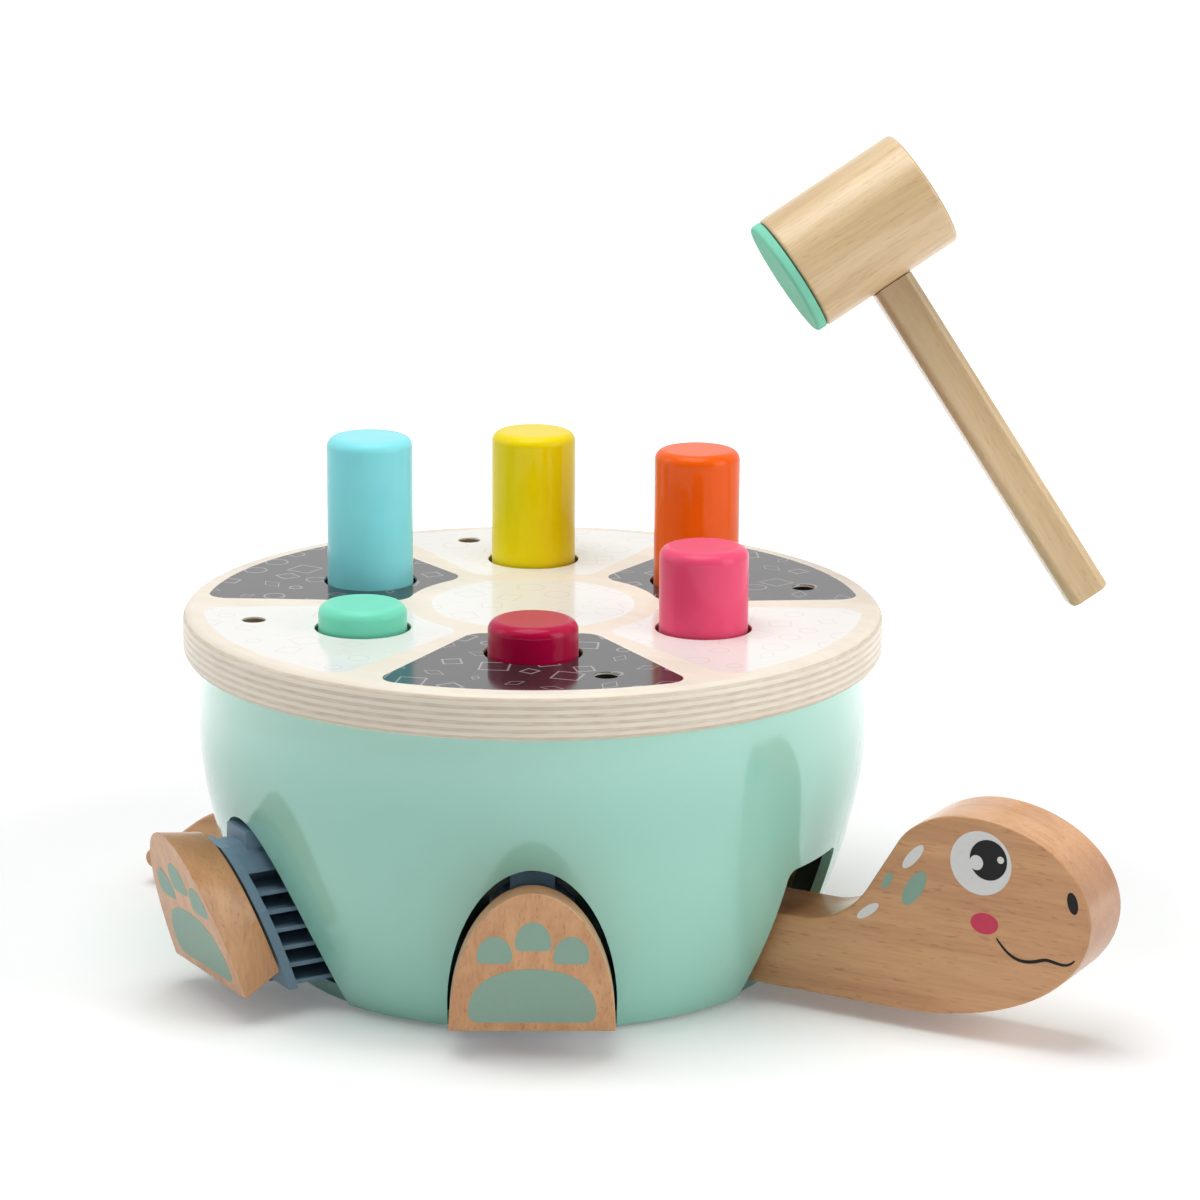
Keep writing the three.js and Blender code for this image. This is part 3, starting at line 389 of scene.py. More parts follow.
def motif_lines(tree, place):
    """Thin printed rings, squares and lozenges, one to a cell, at random turns of a loose grid."""
    inputs = {"Vector": place, "Scale": 1 / MOTIF_PITCH, "Randomness": MOTIF_SCATTER}
    cell = add(tree, "ShaderNodeTexVoronoi", inputs, voronoi_dimensions="2D").outputs
    pick = add(tree, "ShaderNodeSeparateColor", {"Color": cell["Color"]}).outputs
    turned = add(tree, "ShaderNodeVectorRotate",
                 {"Vector": vectors("SUBTRACT", place, cell["Position"]),
                  "Angle": maths("MULTIPLY", pick["Green"], math.tau)}, rotation_type="Z_AXIS")
    part = split(vectors("ABSOLUTE", turned.outputs["Vector"]))
    ring = vectors("LENGTH", joined(part["X"], part["Y"]))
    square = maths("MAXIMUM", part["X"], part["Y"])
    lozenge = maths("ADD", maths("MULTIPLY", part["X"], LOZENGE_LENGTH), part["Y"])
    no_ring = maths("GREATER_THAN", pick["Red"], RINGS_TO)
    is_lozenge = maths("GREATER_THAN", pick["Red"], SQUARES_TO)
    shape = blend(is_lozenge, blend(no_ring, ring, square, "FLOAT"), lozenge, "FLOAT")
    size = ramp(pick["Blue"], 0, 1, *MOTIF_SIZES)
    away = maths("ABSOLUTE", maths("SUBTRACT", shape, size))
    return ramp(away, MOTIF_LINE * 0.7, MOTIF_LINE * 1.3, 1.0, 0.0)


@node_material
def printed_plywood(tree, colours, top):
    """Lacquered birch plywood: pale figured face, layered edge, glossy printed panels on top, and painted shade
    inside the holes.
    """
    place = own_place(tree)
    height = split(place)["Z"]

    # face: soft figure along X, about 7 mm wide
    lengthwise = scaled(place, (0.12, 1, 1))
    figure = noise(lengthwise, 7, 5.0, 0.6)
    fibre = noise(lengthwise, 0.9, 2.0)
    # edge: layers by height, waved a little, with streaks that run round the rim
    wavy = maths("MULTIPLY_ADD", noise(place, 18, 1.0), PLY_WAVE, height)
    layer = maths("SINE", maths("MULTIPLY", wavy, math.tau / PLY_PITCH))
    dark_layer = ramp(layer, -0.25, 0.25, shape="SMOOTHSTEP")
    below_face = ramp(height, top - FACE_PLY, top - FACE_CLEAR, 1.0, 0.0)
    streak = noise(scaled(place, (1, 1, 9)), 5, 4.0)
    edge = maths("MULTIPLY", maths("MULTIPLY", dark_layer, below_face), ramp(streak, 0.3, 0.7, 0.35, 0.9))
    figured = maths("MAXIMUM", ramp(figure, 0.4, 0.8, 0, 0.3), edge)
    wood = blend(figured, colours.birch, colours.birch_end)

    # panels: pale and dark in turn, and a pale one in the middle
    distance, bearing, reach = panel_distance(place)
    inside = ramp(distance, -PRINT_BLUR, PRINT_BLUR, 1.0, 0.0)
    printed = maths("MULTIPLY", inside, maths("GREATER_THAN", height, top - PRINT_DEPTH))
    alternate = maths("COSINE", maths("MULTIPLY", bearing, len(STATIONS) / 2))
    past_hub = maths("GREATER_THAN", reach, PANEL_INNER - PANEL_CORNER)
    is_dark = maths("MULTIPLY", maths("LESS_THAN", alternate, 0.0), past_hub)
    line = motif_lines(tree, place)
    dark = blend(maths("MULTIPLY", line, 0.6), colours.panel_dark, colours.dark_panel_line)
    pale = blend(maths("MULTIPLY", line, 0.35), colours.panel_white, colours.pale_panel_line)
    lacquered = blend(printed, wood, blend(is_dark, pale, dark))

    # holes: painted shade on the wood inside them, darker than the lacquered face, and almost black in a dark
    # panel
    deep = maths("LESS_THAN", height, top - FACE_CLEAR)
    hole_shade_mask = maths("MULTIPLY", deep, maths("LESS_THAN", reach, PANEL_OUTER))
    hole_painted_shade = blend(is_dark, colours.birch_raw, colours.birch_inked)
    return {"Base Color": blend(hole_shade_mask, lacquered, hole_painted_shade),
            "Roughness": ramp(printed, 0, 1, 0.4, 0.12),
            "Normal": bump(maths("ADD", fibre, figured), 0.12, 0.08), "IOR": 1.5}


# Shapes


def arc(centre, radius, start, end, steps=EDGE_STEPS):
    """Points on an arc, from one angle to another in degrees."""
    angles = [math.radians(start + (end - start) * i / steps) for i in range(steps + 1)]
    return [(centre[0] + radius * math.cos(a), centre[1] + radius * math.sin(a)) for a in angles]


def curve(points, start, end, steps=16):
    """Points on a cubic curve between start and end; points are its two handles."""
    flat = [Vector((x, y)) for x, y in (start, *points, end)]
    return [tuple(point) for point in interpolate_bezier(*flat, steps + 1)]


def close(bm):
    """Closes open rims with flat faces, and turns all faces outwards."""
    rims = [edge for edge in bm.edges if edge.is_boundary]
    if rims:
        bmesh.ops.holes_fill(bm, edges=rims, sides=0)
    bmesh.ops.recalc_face_normals(bm, faces=bm.faces)
    return bm


def turn(profile, steps):
    """A body turned about Z from (radius, height) points; open ends are closed flat."""
    bm = bmesh.new()
    verts = [bm.verts.new((radius, 0, z)) for radius, z in profile]
    edges = [bm.edges.new(pair) for pair in zip(verts, verts[1:])]
    bmesh.ops.spin(bm, geom=verts + edges, cent=(0, 0, 0), axis=(0, 0, 1), angle=math.tau, steps=steps,
                   use_merge=True)
    bmesh.ops.remove_doubles(bm, verts=bm.verts, dist=WELD)
    return close(bm)


def slab(outline, thickness):
    """A closed outline in X and Y, made solid from z = 0 down to -thickness."""
    bm = bmesh.new()
    face = bm.faces.new([bm.verts.new((x, y, 0)) for x, y in outline])
    grown = bmesh.ops.extrude_face_region(bm, geom=[face])["geom"]
    lower = [v for v in grown if isinstance(v, bmesh.types.BMVert)]
    bmesh.ops.translate(bm, vec=(0, 0, -thickness), verts=lower)
    bmesh.ops.recalc_face_normals(bm, faces=bm.faces)
    return bm


def block(low, high):
    """A box between two corners."""
    low, high = Vector(low), Vector(high)
    bm = bmesh.new()
    size = Matrix.Diagonal((*(high - low), 1))
    bmesh.ops.create_cube(bm, size=1, matrix=Matrix.Translation((low + high) / 2) @ size)
    return bm


def rod(radius, low, high, steps):
    """An upright cylinder about Z."""
    return turn([(radius, low), (radius, high)], steps)


def rounded_rod(radius, low, high, edge, lower_edge, steps, edge_steps=EDGE_STEPS):
    """An upright cylinder about Z with rounded edges."""
    return turn(arc((radius - lower_edge, low + lower_edge), lower_edge, -90, 0)
                + arc((radius - edge, high - edge), edge, 0, 90, edge_steps), steps)


def moved(bm, matrix):
    """The same bmesh, moved by a matrix."""
    bmesh.ops.transform(bm, matrix=matrix, verts=bm.verts)
    return bm


def scratch(bm):
    """A loose object that holds a bmesh for a boolean."""
    mesh = bpy.data.meshes.new("scratch")
    bm.to_mesh(mesh)
    bm.free()
    obj = bpy.data.objects.new("scratch", mesh)
    bpy.context.scene.collection.objects.link(obj)
    return obj


def combine(bm, tools, operation="DIFFERENCE"):
    """Cuts the tools out of a closed bmesh, or joins them to it."""
    body = scratch(bm)
    cutters = [scratch(tool) for tool in tools]
    for cutter in cutters:
        modifier = body.modifiers.new("cut", "BOOLEAN")
        modifier.operation = operation
        modifier.solver = "EXACT"
        modifier.object = cutter
    bpy.context.view_layer.update()
    mesh = bpy.data.meshes.new_from_object(body.evaluated_get(bpy.context.evaluated_depsgraph_get()))
    result = bmesh.new()
    result.from_mesh(mesh)
    bpy.data.meshes.remove(mesh)
    for obj in (body, *cutters):
        data = obj.data
        bpy.data.objects.remove(obj)
        bpy.data.meshes.remove(data)
    return result


def round_edges(bm, radius, steps=3, chosen=None, angle=math.radians(30)):
    """Rounds the sharp edges of a bmesh, or those of them that chosen accepts."""
    edges = [edge for edge in bm.edges if len(edge.link_faces) == 2 and edge.calc_face_angle() > angle
             and (not chosen or chosen(edge))]
    bmesh.ops.bevel(bm, geom=edges, offset=radius, offset_type="OFFSET", segments=steps, profile=0.5,
                    affect="EDGES", clamp_overlap=True, material=-1)


def piece(bm, name, material, body, nodes=(), place=None, grain="XYZ"):
    """Makes a bmesh a finished piece. grain names its own axes, the one along the wood's grain first."""
    bm.normal_update()
    layer = bm.verts.layers.float_vector.new("grain")
    ends = bm.verts.layers.float.new("end_grain")
    for vert in bm.verts:
        vert[layer] = [vert.co["XYZ".index(axis)] for axis in grain]
        vert[ends] = max(abs(face.normal["XYZ".index(grain[0])]) for face in vert.link_faces)
    if place:
        moved(bm, place)
        bmesh.ops.recalc_face_normals(bm, faces=bm.faces)
    mesh = bpy.data.meshes.new(name)
    bm.to_mesh(mesh)
    bm.free()
    mesh.shade_smooth()
    mesh.set_sharp_from_angle(angle=SMOOTH_ANGLE)
    mesh.materials.append(material)
    obj = bpy.data.objects.new(name, mesh)
    bpy.context.scene.collection.objects.link(obj)
    # flat faces stay flat up to their rounded edges
    obj.modifiers.new("even_faces", "WEIGHTED_NORMAL").keep_sharp = True
    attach(obj, body)
    if nodes:
        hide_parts(*nodes)


def station_place(station, reach=0.0):
    """The matrix of a station: its X points outwards, moved out by reach."""
    axis = JOINTS[station + "_limb_slide"]["axis"]
    return Matrix.Rotation(math.atan2(axis[1], axis[0]), 4, "Z") @ Matrix.Translation((reach, 0, 0))


def limb_out(station):
    """How far a limb stands out at rest: what it can still be pushed in."""
    return -JOINTS[station + "_limb_slide"]["range_m"][0]


def corners(node):
    """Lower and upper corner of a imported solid's box."""
    return [Vector(corner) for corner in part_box(node)]


def box_middle(node):
    """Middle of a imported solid's box."""
    low, high = corners(node)
    return (low + high) / 2


def over(point):
    """The move from the toy's upright axis to the one through a point."""
    return Matrix.Translation((point.x, point.y, 0))


def coat(names, material):
    """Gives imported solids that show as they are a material."""
    for name in names:
        frame["nodes"][name].data.materials.clear()
        frame["nodes"][name].data.materials.append(material)


def screw_places():
    """Where the plate screws stand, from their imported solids."""
    names = sorted(name for name in frame["nodes"] if name.startswith("plate_screw"))
    return {name: box_middle(name) for name in names}


def shell_arc(sizes):
    """Centre radius and arc radius of the drum's wall, which stands upright at shell_upright."""
    low, high = corners("shell")
    depth = (high.x - low.x) / 2 - sizes.shell_base / 2
    rise = sizes.shell_upright - low.z
    radius = (rise ** 2 + depth ** 2) / (2 * depth)
    return (high.x - low.x) / 2 - radius, radius


def shell_reach(sizes, z, inset=0.0):
    """Distance of the drum's outer surface from the middle at a height."""
    centre, radius = shell_arc(sizes)
    below = max(sizes.shell_upright - z, 0)
    return centre + math.sqrt((radius - inset) ** 2 - below ** 2)


def arch_outline(half_width, height, steps=40):
    """Half an ellipse that stands on its straight side."""
    return [(half_width * x, height * y) for x, y in arc((0, 0), 1, 0, 180, steps)]


# Outwards of a station: an outline's X goes across, its Y goes up, and its thickness goes inwards
OUTWARDS = Matrix(((0, 0, 1, 0), (1, 0, 0, 0), (0, 1, 0, 0), (0, 0, 0, 1)))
# On edge in a station's plane: an outline's X goes outwards and its Y goes up
ON_EDGE = Matrix(((1, 0, 0, 0), (0, 0, -1, 0), (0, 1, 0, 0), (0, 0, 0, 1)))


class TOY_OT_top_plate(bpy.types.Operator):
    """Plywood disc with peg holes, sunk screw holes and printed panels"""
    bl_idname = "toy.top_plate"
    bl_label = "Top plate"

    def execute(self, context):
        sizes = context.scene.toy_sizes
        low, high = corners("top_plate")
        radius, edge = (high.x - low.x) / 2, sizes.plate_edge
        bottom, top = low.z - edge, high.z + edge  # of the tools that cut the holes
        holes = []
        for station in STATIONS:
            peg_low, peg_high = corners(station + "_peg")
            hole = rod((peg_high.x - peg_low.x) / 2 + sizes.hole_gap, bottom, top, PEG_STEPS)
            holes.append(moved(hole, over((peg_low + peg_high) / 2)))
        head = sizes.screw_head / 2 + sizes.seat_gap
        shank = sizes.screw_shank / 2 + sizes.seat_gap
        seat = high.z - sizes.screw_sink
        for middle in screw_places().values():
            stepped = turn([(shank, bottom), (shank, seat), (head, seat), (head, top)], SCREW_STEPS)
            holes.append(moved(stepped, over(middle)))
        bm = combine(rounded_rod(radius, low.z, high.z, edge, edge, ROUND_STEPS), holes)
        flat, within = high.z - WELD, radius - edge * 1.1  # the upper side, without the rim
        round_edges(bm, sizes.hole_edge, 2, lambda e: all(
            v.co.z > flat and v.co.xy.length < within for v in e.verts), math.radians(60))
        material = printed_plywood("lacquered_birch_plywood", context.scene.toy_colours, high.z)
        piece(bm, "printed_top", material, "drum", ["top_plate"])
        return {"FINISHED"}


class TOY_OT_pegs(bpy.types.Operator):
    """Six painted pegs with rounded upper edges"""
    bl_idname = "toy.pegs"
    bl_label = "Pegs"

    def execute(self, context):
        sizes, colours = context.scene.toy_sizes, context.scene.toy_colours
        for station in STATIONS:
            node = station + "_peg"
            low, high = corners(node)
            radius, edge = (high.x - low.x) / 2, sizes.peg_edge
            bm = rounded_rod(radius, low.z, high.z, edge, edge / 4, PEG_STEPS, 10)
            slot = PEG_SLOTS[node]
            material = gloss_paint(slot.replace("_paint", "_gloss_paint"), getattr(colours, slot))
            piece(bm, "painted_" + node, material, station + "_peg_body", [node],
                  over((low + high) / 2))
        return {"FINISHED"}


class TOY_OT_drum(bpy.types.Operator):
    """Glossy drum with its openings, and the base under it"""
    bl_idname = "toy.drum"
    bl_label = "Drum"

    def execute(self, context):
        sizes, colours = context.scene.toy_sizes, context.scene.toy_colours
        low, high = corners("shell")
        heights = [low.z + (high.z - low.z) * i / WALL_STEPS for i in range(WALL_STEPS + 1)]
        outside = [(shell_reach(sizes, z), z) for z in heights]
        inside = [(shell_reach(sizes, z, sizes.shell_wall), z) for z in reversed(heights)]
        wall = turn(outside + inside + outside[:1], ROUND_STEPS)

        far = high.x + sizes.shell_wall
        openings = []
        for station in STATIONS:
            if station in FEET:
                half = sizes.foot_width / 2 + sizes.foot_gap
                arch = arch_outline(half, sizes.foot_height + sizes.foot_gap)
                top = [(x, y + sizes.foot_bottom) for x, y in arch]
            else:
                board_low, board_high = corners("turtle_" + station)
                half = (board_high.y - board_low.y) / 2 + sizes.neck_gap
                x, y = half - NECK_CORNER, sizes.neck_opening_top - NECK_CORNER
                top = arc((x, y), NECK_CORNER, 0, 90) + arc((-x, y), NECK_CORNER, 90, 180)
            outline = [(half, -sizes.foot_gap), *top, (-half, -sizes.foot_gap)]
            cutter = moved(slab(outline, far / 2), OUTWARDS)
            openings.append(moved(cutter, station_place(station, far)))
        bm = combine(wall, openings)
        plastic = moulded_plastic("gloss_mint_abs", colours.mint_plastic, roughness=0.16,
                                  skin_mm=5.0, skin_depth_mm=0.02, polish=0.7)
        piece(bm, "mint_drum", plastic, "drum", ["shell"])
        coat(["base_plate"], plastic)
        return {"FINISHED"}


class TOY_OT_feet(bpy.types.Operator):
    """Four beech feet with printed paws"""
    bl_idname = "toy.feet"
    bl_label = "Feet"

    def execute(self, context):
        sizes, colours = context.scene.toy_sizes, context.scene.toy_colours
        wood = sanded_beech("sanded_beech", colours.beech, colours.beech_dark, fleck_share=0.5)
        ink = printing_ink("mint_ink", colours.mint_ink)
        slope = math.tan(sizes.foot_lean)
        lean = Matrix(((1, 0, slope, 0), (0, 1, 0, 0), (0, 0, 1, 0), (0, 0, 0, 1)))
        face = shell_reach(sizes, sizes.foot_bottom) - sizes.foot_inset
        for station in FEET:
            body = station + "_limb_body"
            place = (station_place(station, face + limb_out(station))
                     @ Matrix.Translation((0, 0, sizes.foot_bottom)))
            arch = arch_outline(sizes.foot_width / 2, sizes.foot_height)
            bm = moved(slab(arch, sizes.foot_thickness), OUTWARDS)
            bmesh.ops.scale(bm, vec=(1, 1, 1 - sizes.foot_crown_drop / sizes.foot_height),
                            verts=[v for v in bm.verts if v.co.x < -WELD])
            moved(bm, lean)
            below = Vector((-sizes.foot_rise, 0, -sizes.foot_thickness)).normalized()
            bmesh.ops.bisect_plane(bm, geom=bm.verts[:] + bm.edges[:] + bm.faces[:], dist=WELD,
                                   plane_co=(0, 0, 0), plane_no=below, clear_outer=True)
            round_edges(close(bm), sizes.foot_edge)
            piece(bm, "beech_" + station, wood, body, [station], place, "ZYX")
            self.print_paw(station, sizes, ink, body, place @ lean)
        return {"FINISHED"}

    def print_paw(self, station, sizes, ink, body, place):
        """A pad and three toes with flat undersides; sizes are in millimetres up the leaning face."""
        rise = math.cos(sizes.foot_lean)  # sizes up the leaning face, to level heights
        # name, middle across, bottom, half the width, height, half the flat underside, share of the flat top
        shapes = [("pad", 0, 3.0, 17.2, 18.0, 14.2, 0.7),
                  ("left_toe", -10.1, 22.8, 4.75, 9.1, 2.9, 0.55),
                  ("middle_toe", 0.2, 27.0, 4.85, 9.6, 2.9, 0.55),
                  ("right_toe", 10.4, 22.7, 4.8, 9.1, 2.9, 0.55)]
        for name, across, bottom, half, height, flat, crown in shapes:
            widest = 1.15 * (half - flat)  # height at which it is widest
            corner = curve([(half - 0.3 * (half - flat), 0), (half, 0.4 * widest)],
                           (flat, 0), (half, widest), 8)
            flank = curve([(half, widest + 0.56 * (height - widest)), (crown * half, height)],
                          (half, widest), (0, height), 20)
            right = corner + flank[1:]
            outline = right + [(-x, y) for x, y in right[-2::-1]]
            printed = [((across + x) * MM, (bottom + y) * MM * rise) for x, y in outline]
            bm = slab(printed, INK_DEPTH * 2)
            moved(bm, Matrix.Translation((0, 0, INK_DEPTH)))
            piece(moved(bm, OUTWARDS), f"{station}_{name}", ink, body, place=place)


def head_outline(sizes):
    """Side view of the head from the neck's inner end, as X outwards and Y up, drawn in millimetres."""
    low, high = sizes.neck_bottom / MM, sizes.neck_top / MM
    nose, crown, nape, hollow = (102.5, 37.8), (67.5, 63.8), (45.3, 53.4), (36.5, 38.7)
    chin = curve([(78.2, low), (nose[0], 19.3)], (46, low), nose, 28)
    brow = curve([(nose[0], 52.0), (86.4, crown[1])], nose, crown, 28)
    back = curve([(59.5, crown[1]), (49.4, 60.2)], crown, nape, 16)
    neck = curve([(31.9, 31.0), (24.5, high)], hollow, (17, high), 16)
    points = [(0, low)] + chin[:-1] + brow[:-1] + back + neck + [(0, high)]
    return [(x * MM, y * MM) for x, y in points]


def tail_outline(sizes):
    """Side view of the tail from its inner end, as X outwards and Y up."""
    tip, end, back = 3 * MM, 65 * MM, 38 * MM
    rounded = arc((end, sizes.neck_bottom + tip), tip, -90, 90, 12)
    tip_top = sizes.neck_bottom + 2 * tip
    top = curve([((end + back) / 2, (tip_top + sizes.neck_top) / 2),
                 ((end + 2 * back) / 3, sizes.neck_top)], rounded[-1], (back, sizes.neck_top), 20)
    return [(0, sizes.neck_bottom)] + rounded + top[1:] + [(0, sizes.neck_top)]


class TOY_OT_head_and_tail(bpy.types.Operator):
    """Beech head with its printed face, and the beech tail"""
    bl_idname = "toy.head_and_tail"
    bl_label = "Head and tail"

    def execute(self, context):
        sizes, colours = context.scene.toy_sizes, context.scene.toy_colours
        wood = bpy.data.materials["sanded_beech"]
        for station, outline in (("head", head_outline(sizes)), ("tail", tail_outline(sizes))):
            half = sizes.board_thickness / 2
            bm = moved(slab(outline, 2 * half), ON_EDGE @ Matrix.Translation((0, 0, half)))
            round_edges(bm, sizes.board_edge)
            place = station_place(station, sizes.neck_start + limb_out(station))
            piece(bm, "beech_" + station, wood, station + "_limb_body", ["turtle_" + station],
                  place)
        self.print_face(colours, station_place("head"), sizes.board_thickness / 2)
        return {"FINISHED"}

    def print_face(self, colours, place, half):
        """The same face on both sides, in layers of ink; places are outwards and up, in millimetres."""
        inks = {name: printing_ink(name, getattr(colours, name))
                for name in ("white_ink", "black_ink", "pink_ink")}
        inks["mint_ink"] = bpy.data.materials["mint_ink"]
        # name, ink, layer, middle, half axes, tilt in degrees
        ovals = [
            ("eye", "white_ink", 1, (146.2, 51.2), (9.0, 9.0), 0),
            ("pupil", "black_ink", 2, (148.4, 52.4), (5.5, 5.7), 0),
            ("eye_light", "white_ink", 3, (144.9, 51.2), (2.0, 2.1), 0),
            ("eye_spark", "white_ink", 3, (152.0, 53.0), (1.0, 1.0), 0),
            ("cheek", "pink_ink", 1, (147.8, 34.3), (4.1, 3.0), 0),
            ("nostril", "black_ink", 1, (173.2, 44.2), (1.5, 3.1), 14),
            ("upper_spot", "white_ink", 1, (126.1, 49.8), (4.6, 1.5), 51),
            ("large_spot", "mint_ink", 1, (126.7, 40.9), (5.8, 2.45), 60),
            ("small_spot", "mint_ink", 1, (118.6, 41.8), (2.8, 1.1), 60),
            ("lower_spot", "white_ink", 1, (112.9, 32.1), (4.0, 1.3), 38),
        ]
        circle = arc((0, 0), 1, 0, 352.5, 47)  # without its first point again
        for side, turned in (("right", -1), ("left", 1)):
            out = Matrix(((1, 0, 0, 0), (0, 0, turned, turned * half), (0, 1, 0, 0), (0, 0, 0, 1)))
            for name, ink, layer, middle, axes, tilt in ovals:
                oval = [(axes[0] * x * MM, axes[1] * y * MM) for x, y in circle]
                bm = slab(oval, INK_DEPTH * (layer + 1))
                moved(bm, Matrix.Translation((middle[0] * MM, middle[1] * MM, INK_DEPTH * layer))
                      @ Matrix.Rotation(math.radians(tilt), 4, "Z"))
                piece(moved(bm, out), f"{side}_{name}", inks[ink], "head_limb_body",
                      place=place)
            bm = slab(self.mouth(), INK_DEPTH * 2)
            moved(bm, out @ Matrix.Translation((0, 0, INK_DEPTH)))
            piece(bm, f"{side}_mouth", inks["black_ink"], "head_limb_body", place=place)

    def mouth(self):
        """Outline of the mouth: one wavy stroke, thinner at its ends."""
        first = curve([(154.2, 27.0), (157.2, 25.2)], (151.4, 30.9), (160.6, 25.6), 14)
        second = curve([(163.7, 25.9), (165.2, 27.4)], (160.6, 25.6), (167.1, 27.0), 10)
        third = curve([(170.2, 26.6), (172.2, 25.6)], (167.1, 27.0), (174.4, 28.3), 12)
        stroke = [Vector(point) for point in first + second[1:] + third[1:]]
        upper, lower = [], []
        for i, point in enumerate(stroke):
            along = (stroke[min(i + 1, len(stroke) - 1)] - stroke[max(i - 1, 0)]).normalized()
            share = i / (len(stroke) - 1)
            half_width = 0.18 + 0.3 * math.sin(math.pi * share) ** 0.5
            across = Vector((-along.y, along.x)) * half_width
            upper.append((point + across) * MM)
            lower.append((point - across) * MM)
        return [tuple(point) for point in lower + upper[::-1]]


class TOY_OT_mallet(bpy.types.Operator):
    """Beech mallet with a foam pad on one end of its head"""
    bl_idname = "toy.mallet"
    bl_label = "Mallet"

    def execute(self, context):
        sizes, colours = context.scene.toy_sizes, context.scene.toy_colours
        wood = sanded_beech("pale_beech", colours.mallet_beech, colours.mallet_beech_dark, fleck_share=0.35)
        foam = closed_cell_foam("mint_foam", colours.foam)
        joint = JOINTS["mallet_swing"]
        grip = Vector(joint["pos_m"])
        up = box_middle("mallet_head") - grip
        reach = up.length
        up.normalize()
        side = -Vector(joint["axis"]).normalized()
        across = side.cross(up)
        place = Matrix.Translation(grip) @ Matrix((across, side, up)).transposed().to_4x4()
        level = Matrix.Translation((0, 0, reach)) @ Matrix.Rotation(math.pi / 2, 4, "Y")

        radius, half, edge = sizes.mallet_head / 2, sizes.mallet_head_length / 2, sizes.mallet_head_edge
        barrel = rounded_rod(radius, -half, half, edge, edge, PEG_STEPS)
        seat = reach - radius
        socket = rod(sizes.tenon / 2 + sizes.seat_gap, seat - radius,
                     seat + sizes.tenon_depth + sizes.seat_gap, SCREW_STEPS)
        head = combine(moved(barrel, level), [socket])
        piece(head, "beech_mallet_head", wood, "mallet", ["mallet_head"], place)

        width = sizes.handle_width / 2
        bar = block((-width, -width, 0), (width, width, reach))
        round_edges(bar, sizes.handle_edge, 5, lambda e: abs(e.verts[0].co.z - e.verts[1].co.z) > width)
        round_edges(bar, sizes.mallet_head_edge, 3, lambda e: all(v.co.z < WELD for v in e.verts))
        hollow = moved(rod(radius + sizes.seat_gap, -2 * half, 2 * half, PEG_STEPS), level)
        tenon = rod(sizes.tenon / 2, seat - sizes.handle_width, seat + sizes.tenon_depth, SCREW_STEPS)
        handle = combine(combine(bar, [hollow]), [tenon], "UNION")
        piece(handle, "beech_mallet_handle", wood, "mallet", ["mallet_handle"], place,
              "ZYX")

        start = half + sizes.seat_gap
        end = start + sizes.mallet_pad_thickness
        rim = sizes.mallet_pad / 2 - edge
        pad = turn([(rim + edge, start)] + arc((rim, end - edge), edge, 0, 90), PEG_STEPS)
        flipped = Matrix.Translation((0, 0, reach)) @ Matrix.Rotation(-math.pi / 2, 4, "Y")
        piece(moved(pad, flipped), "foam_pad", foam, "mallet", ["mallet_pad"], place)
        return {"FINISHED"}


class TOY_OT_screws(bpy.types.Operator):
    """Cross-head screws sunk in the plate, and steel on the screws and pins inside"""
    bl_idname = "toy.screws"
    bl_label = "Screws"

    def execute(self, context):
        sizes, colours = context.scene.toy_sizes, context.scene.toy_colours
        steel = plated_steel("zinc_plated_steel", colours.steel)
        head, shank, rise = sizes.screw_head / 2, sizes.screw_shank / 2, sizes.screw_head_height
        for name, middle in screw_places().items():
            low, high = corners(name)
            seat = high.z - rise
            bulge = head * 1.2  # radius of the head's domed top
            dome = arc((0, high.z - bulge), bulge, 52, 84, 8)
            profile = [(shank / 2, low.z), (shank, low.z + shank), (shank, seat), (head, seat),
                       *((r * head / dome[0][0], z) for r, z in dome)]
            cross = ((RECESS_HALF_LENGTH, RECESS_HALF_WIDTH), (RECESS_HALF_WIDTH, RECESS_HALF_LENGTH))
            recess = [block((-x, -y, high.z - RECESS_DEPTH), (x, y, high.z + MM)) for x, y in cross]
            bm = combine(turn(profile, SCREW_STEPS), recess)
            piece(bm, "cross_head_" + name, steel, "drum", [name], over(middle))
        coat([name for name in frame["nodes"]
              if name.startswith("base_screw") or name.endswith(("_pin", "_stem_screw"))], steel)
        return {"FINISHED"}


class TOY_OT_linkage(bpy.types.Operator):
    """Satin plastic on the carriers, the forks and the guide frame"""
    bl_idname = "toy.linkage"
    bl_label = "Linkage"

    def execute(self, context):
        colours = context.scene.toy_colours
        plastic = moulded_plastic("satin_blue_grey_pp", colours.blue_grey_plastic, roughness=0.42,
                                  skin_mm=0.9, skin_depth_mm=0.05)
        coat([name for name in frame["nodes"]
              if name == "guide_frame" or name.endswith(("_carrier", "_stem"))], plastic)
        return {"FINISHED"}


# Studio, in metres
FRONT = Vector((0.5, -0.866, 0.0))  # from the toy towards the photograph's camera
DARK_FROM, DARK_TO = 0.4, 0.66  # how far a direction points to FRONT, as a cosine, where reflections darken
DARK_LEVEL = 0.12
AMBIENT = 0.25
FLOOR_HALF = 12
FLOOR_DROP = 0.2 * MM
GLOW_FROM, GLOW_TO = 0.18, 0.42  # distance from the toy's axis over which the floor turns plain white
GLOW_NEAR = 0.14
LAMP_TARGET = Vector((0, 0, 0.08))
# name, place, width and height, watts
LAMPS = (("top_softbox", (-0.03, -0.12, 1.1), (0.8, 0.8), 8.0),
         ("left_softbox", (-1.2, -0.5, 0.7), (0.6, 0.9), 2.8),
         ("right_softbox", (1.1, 0.1, 0.45), (0.6, 0.9), 5.2))
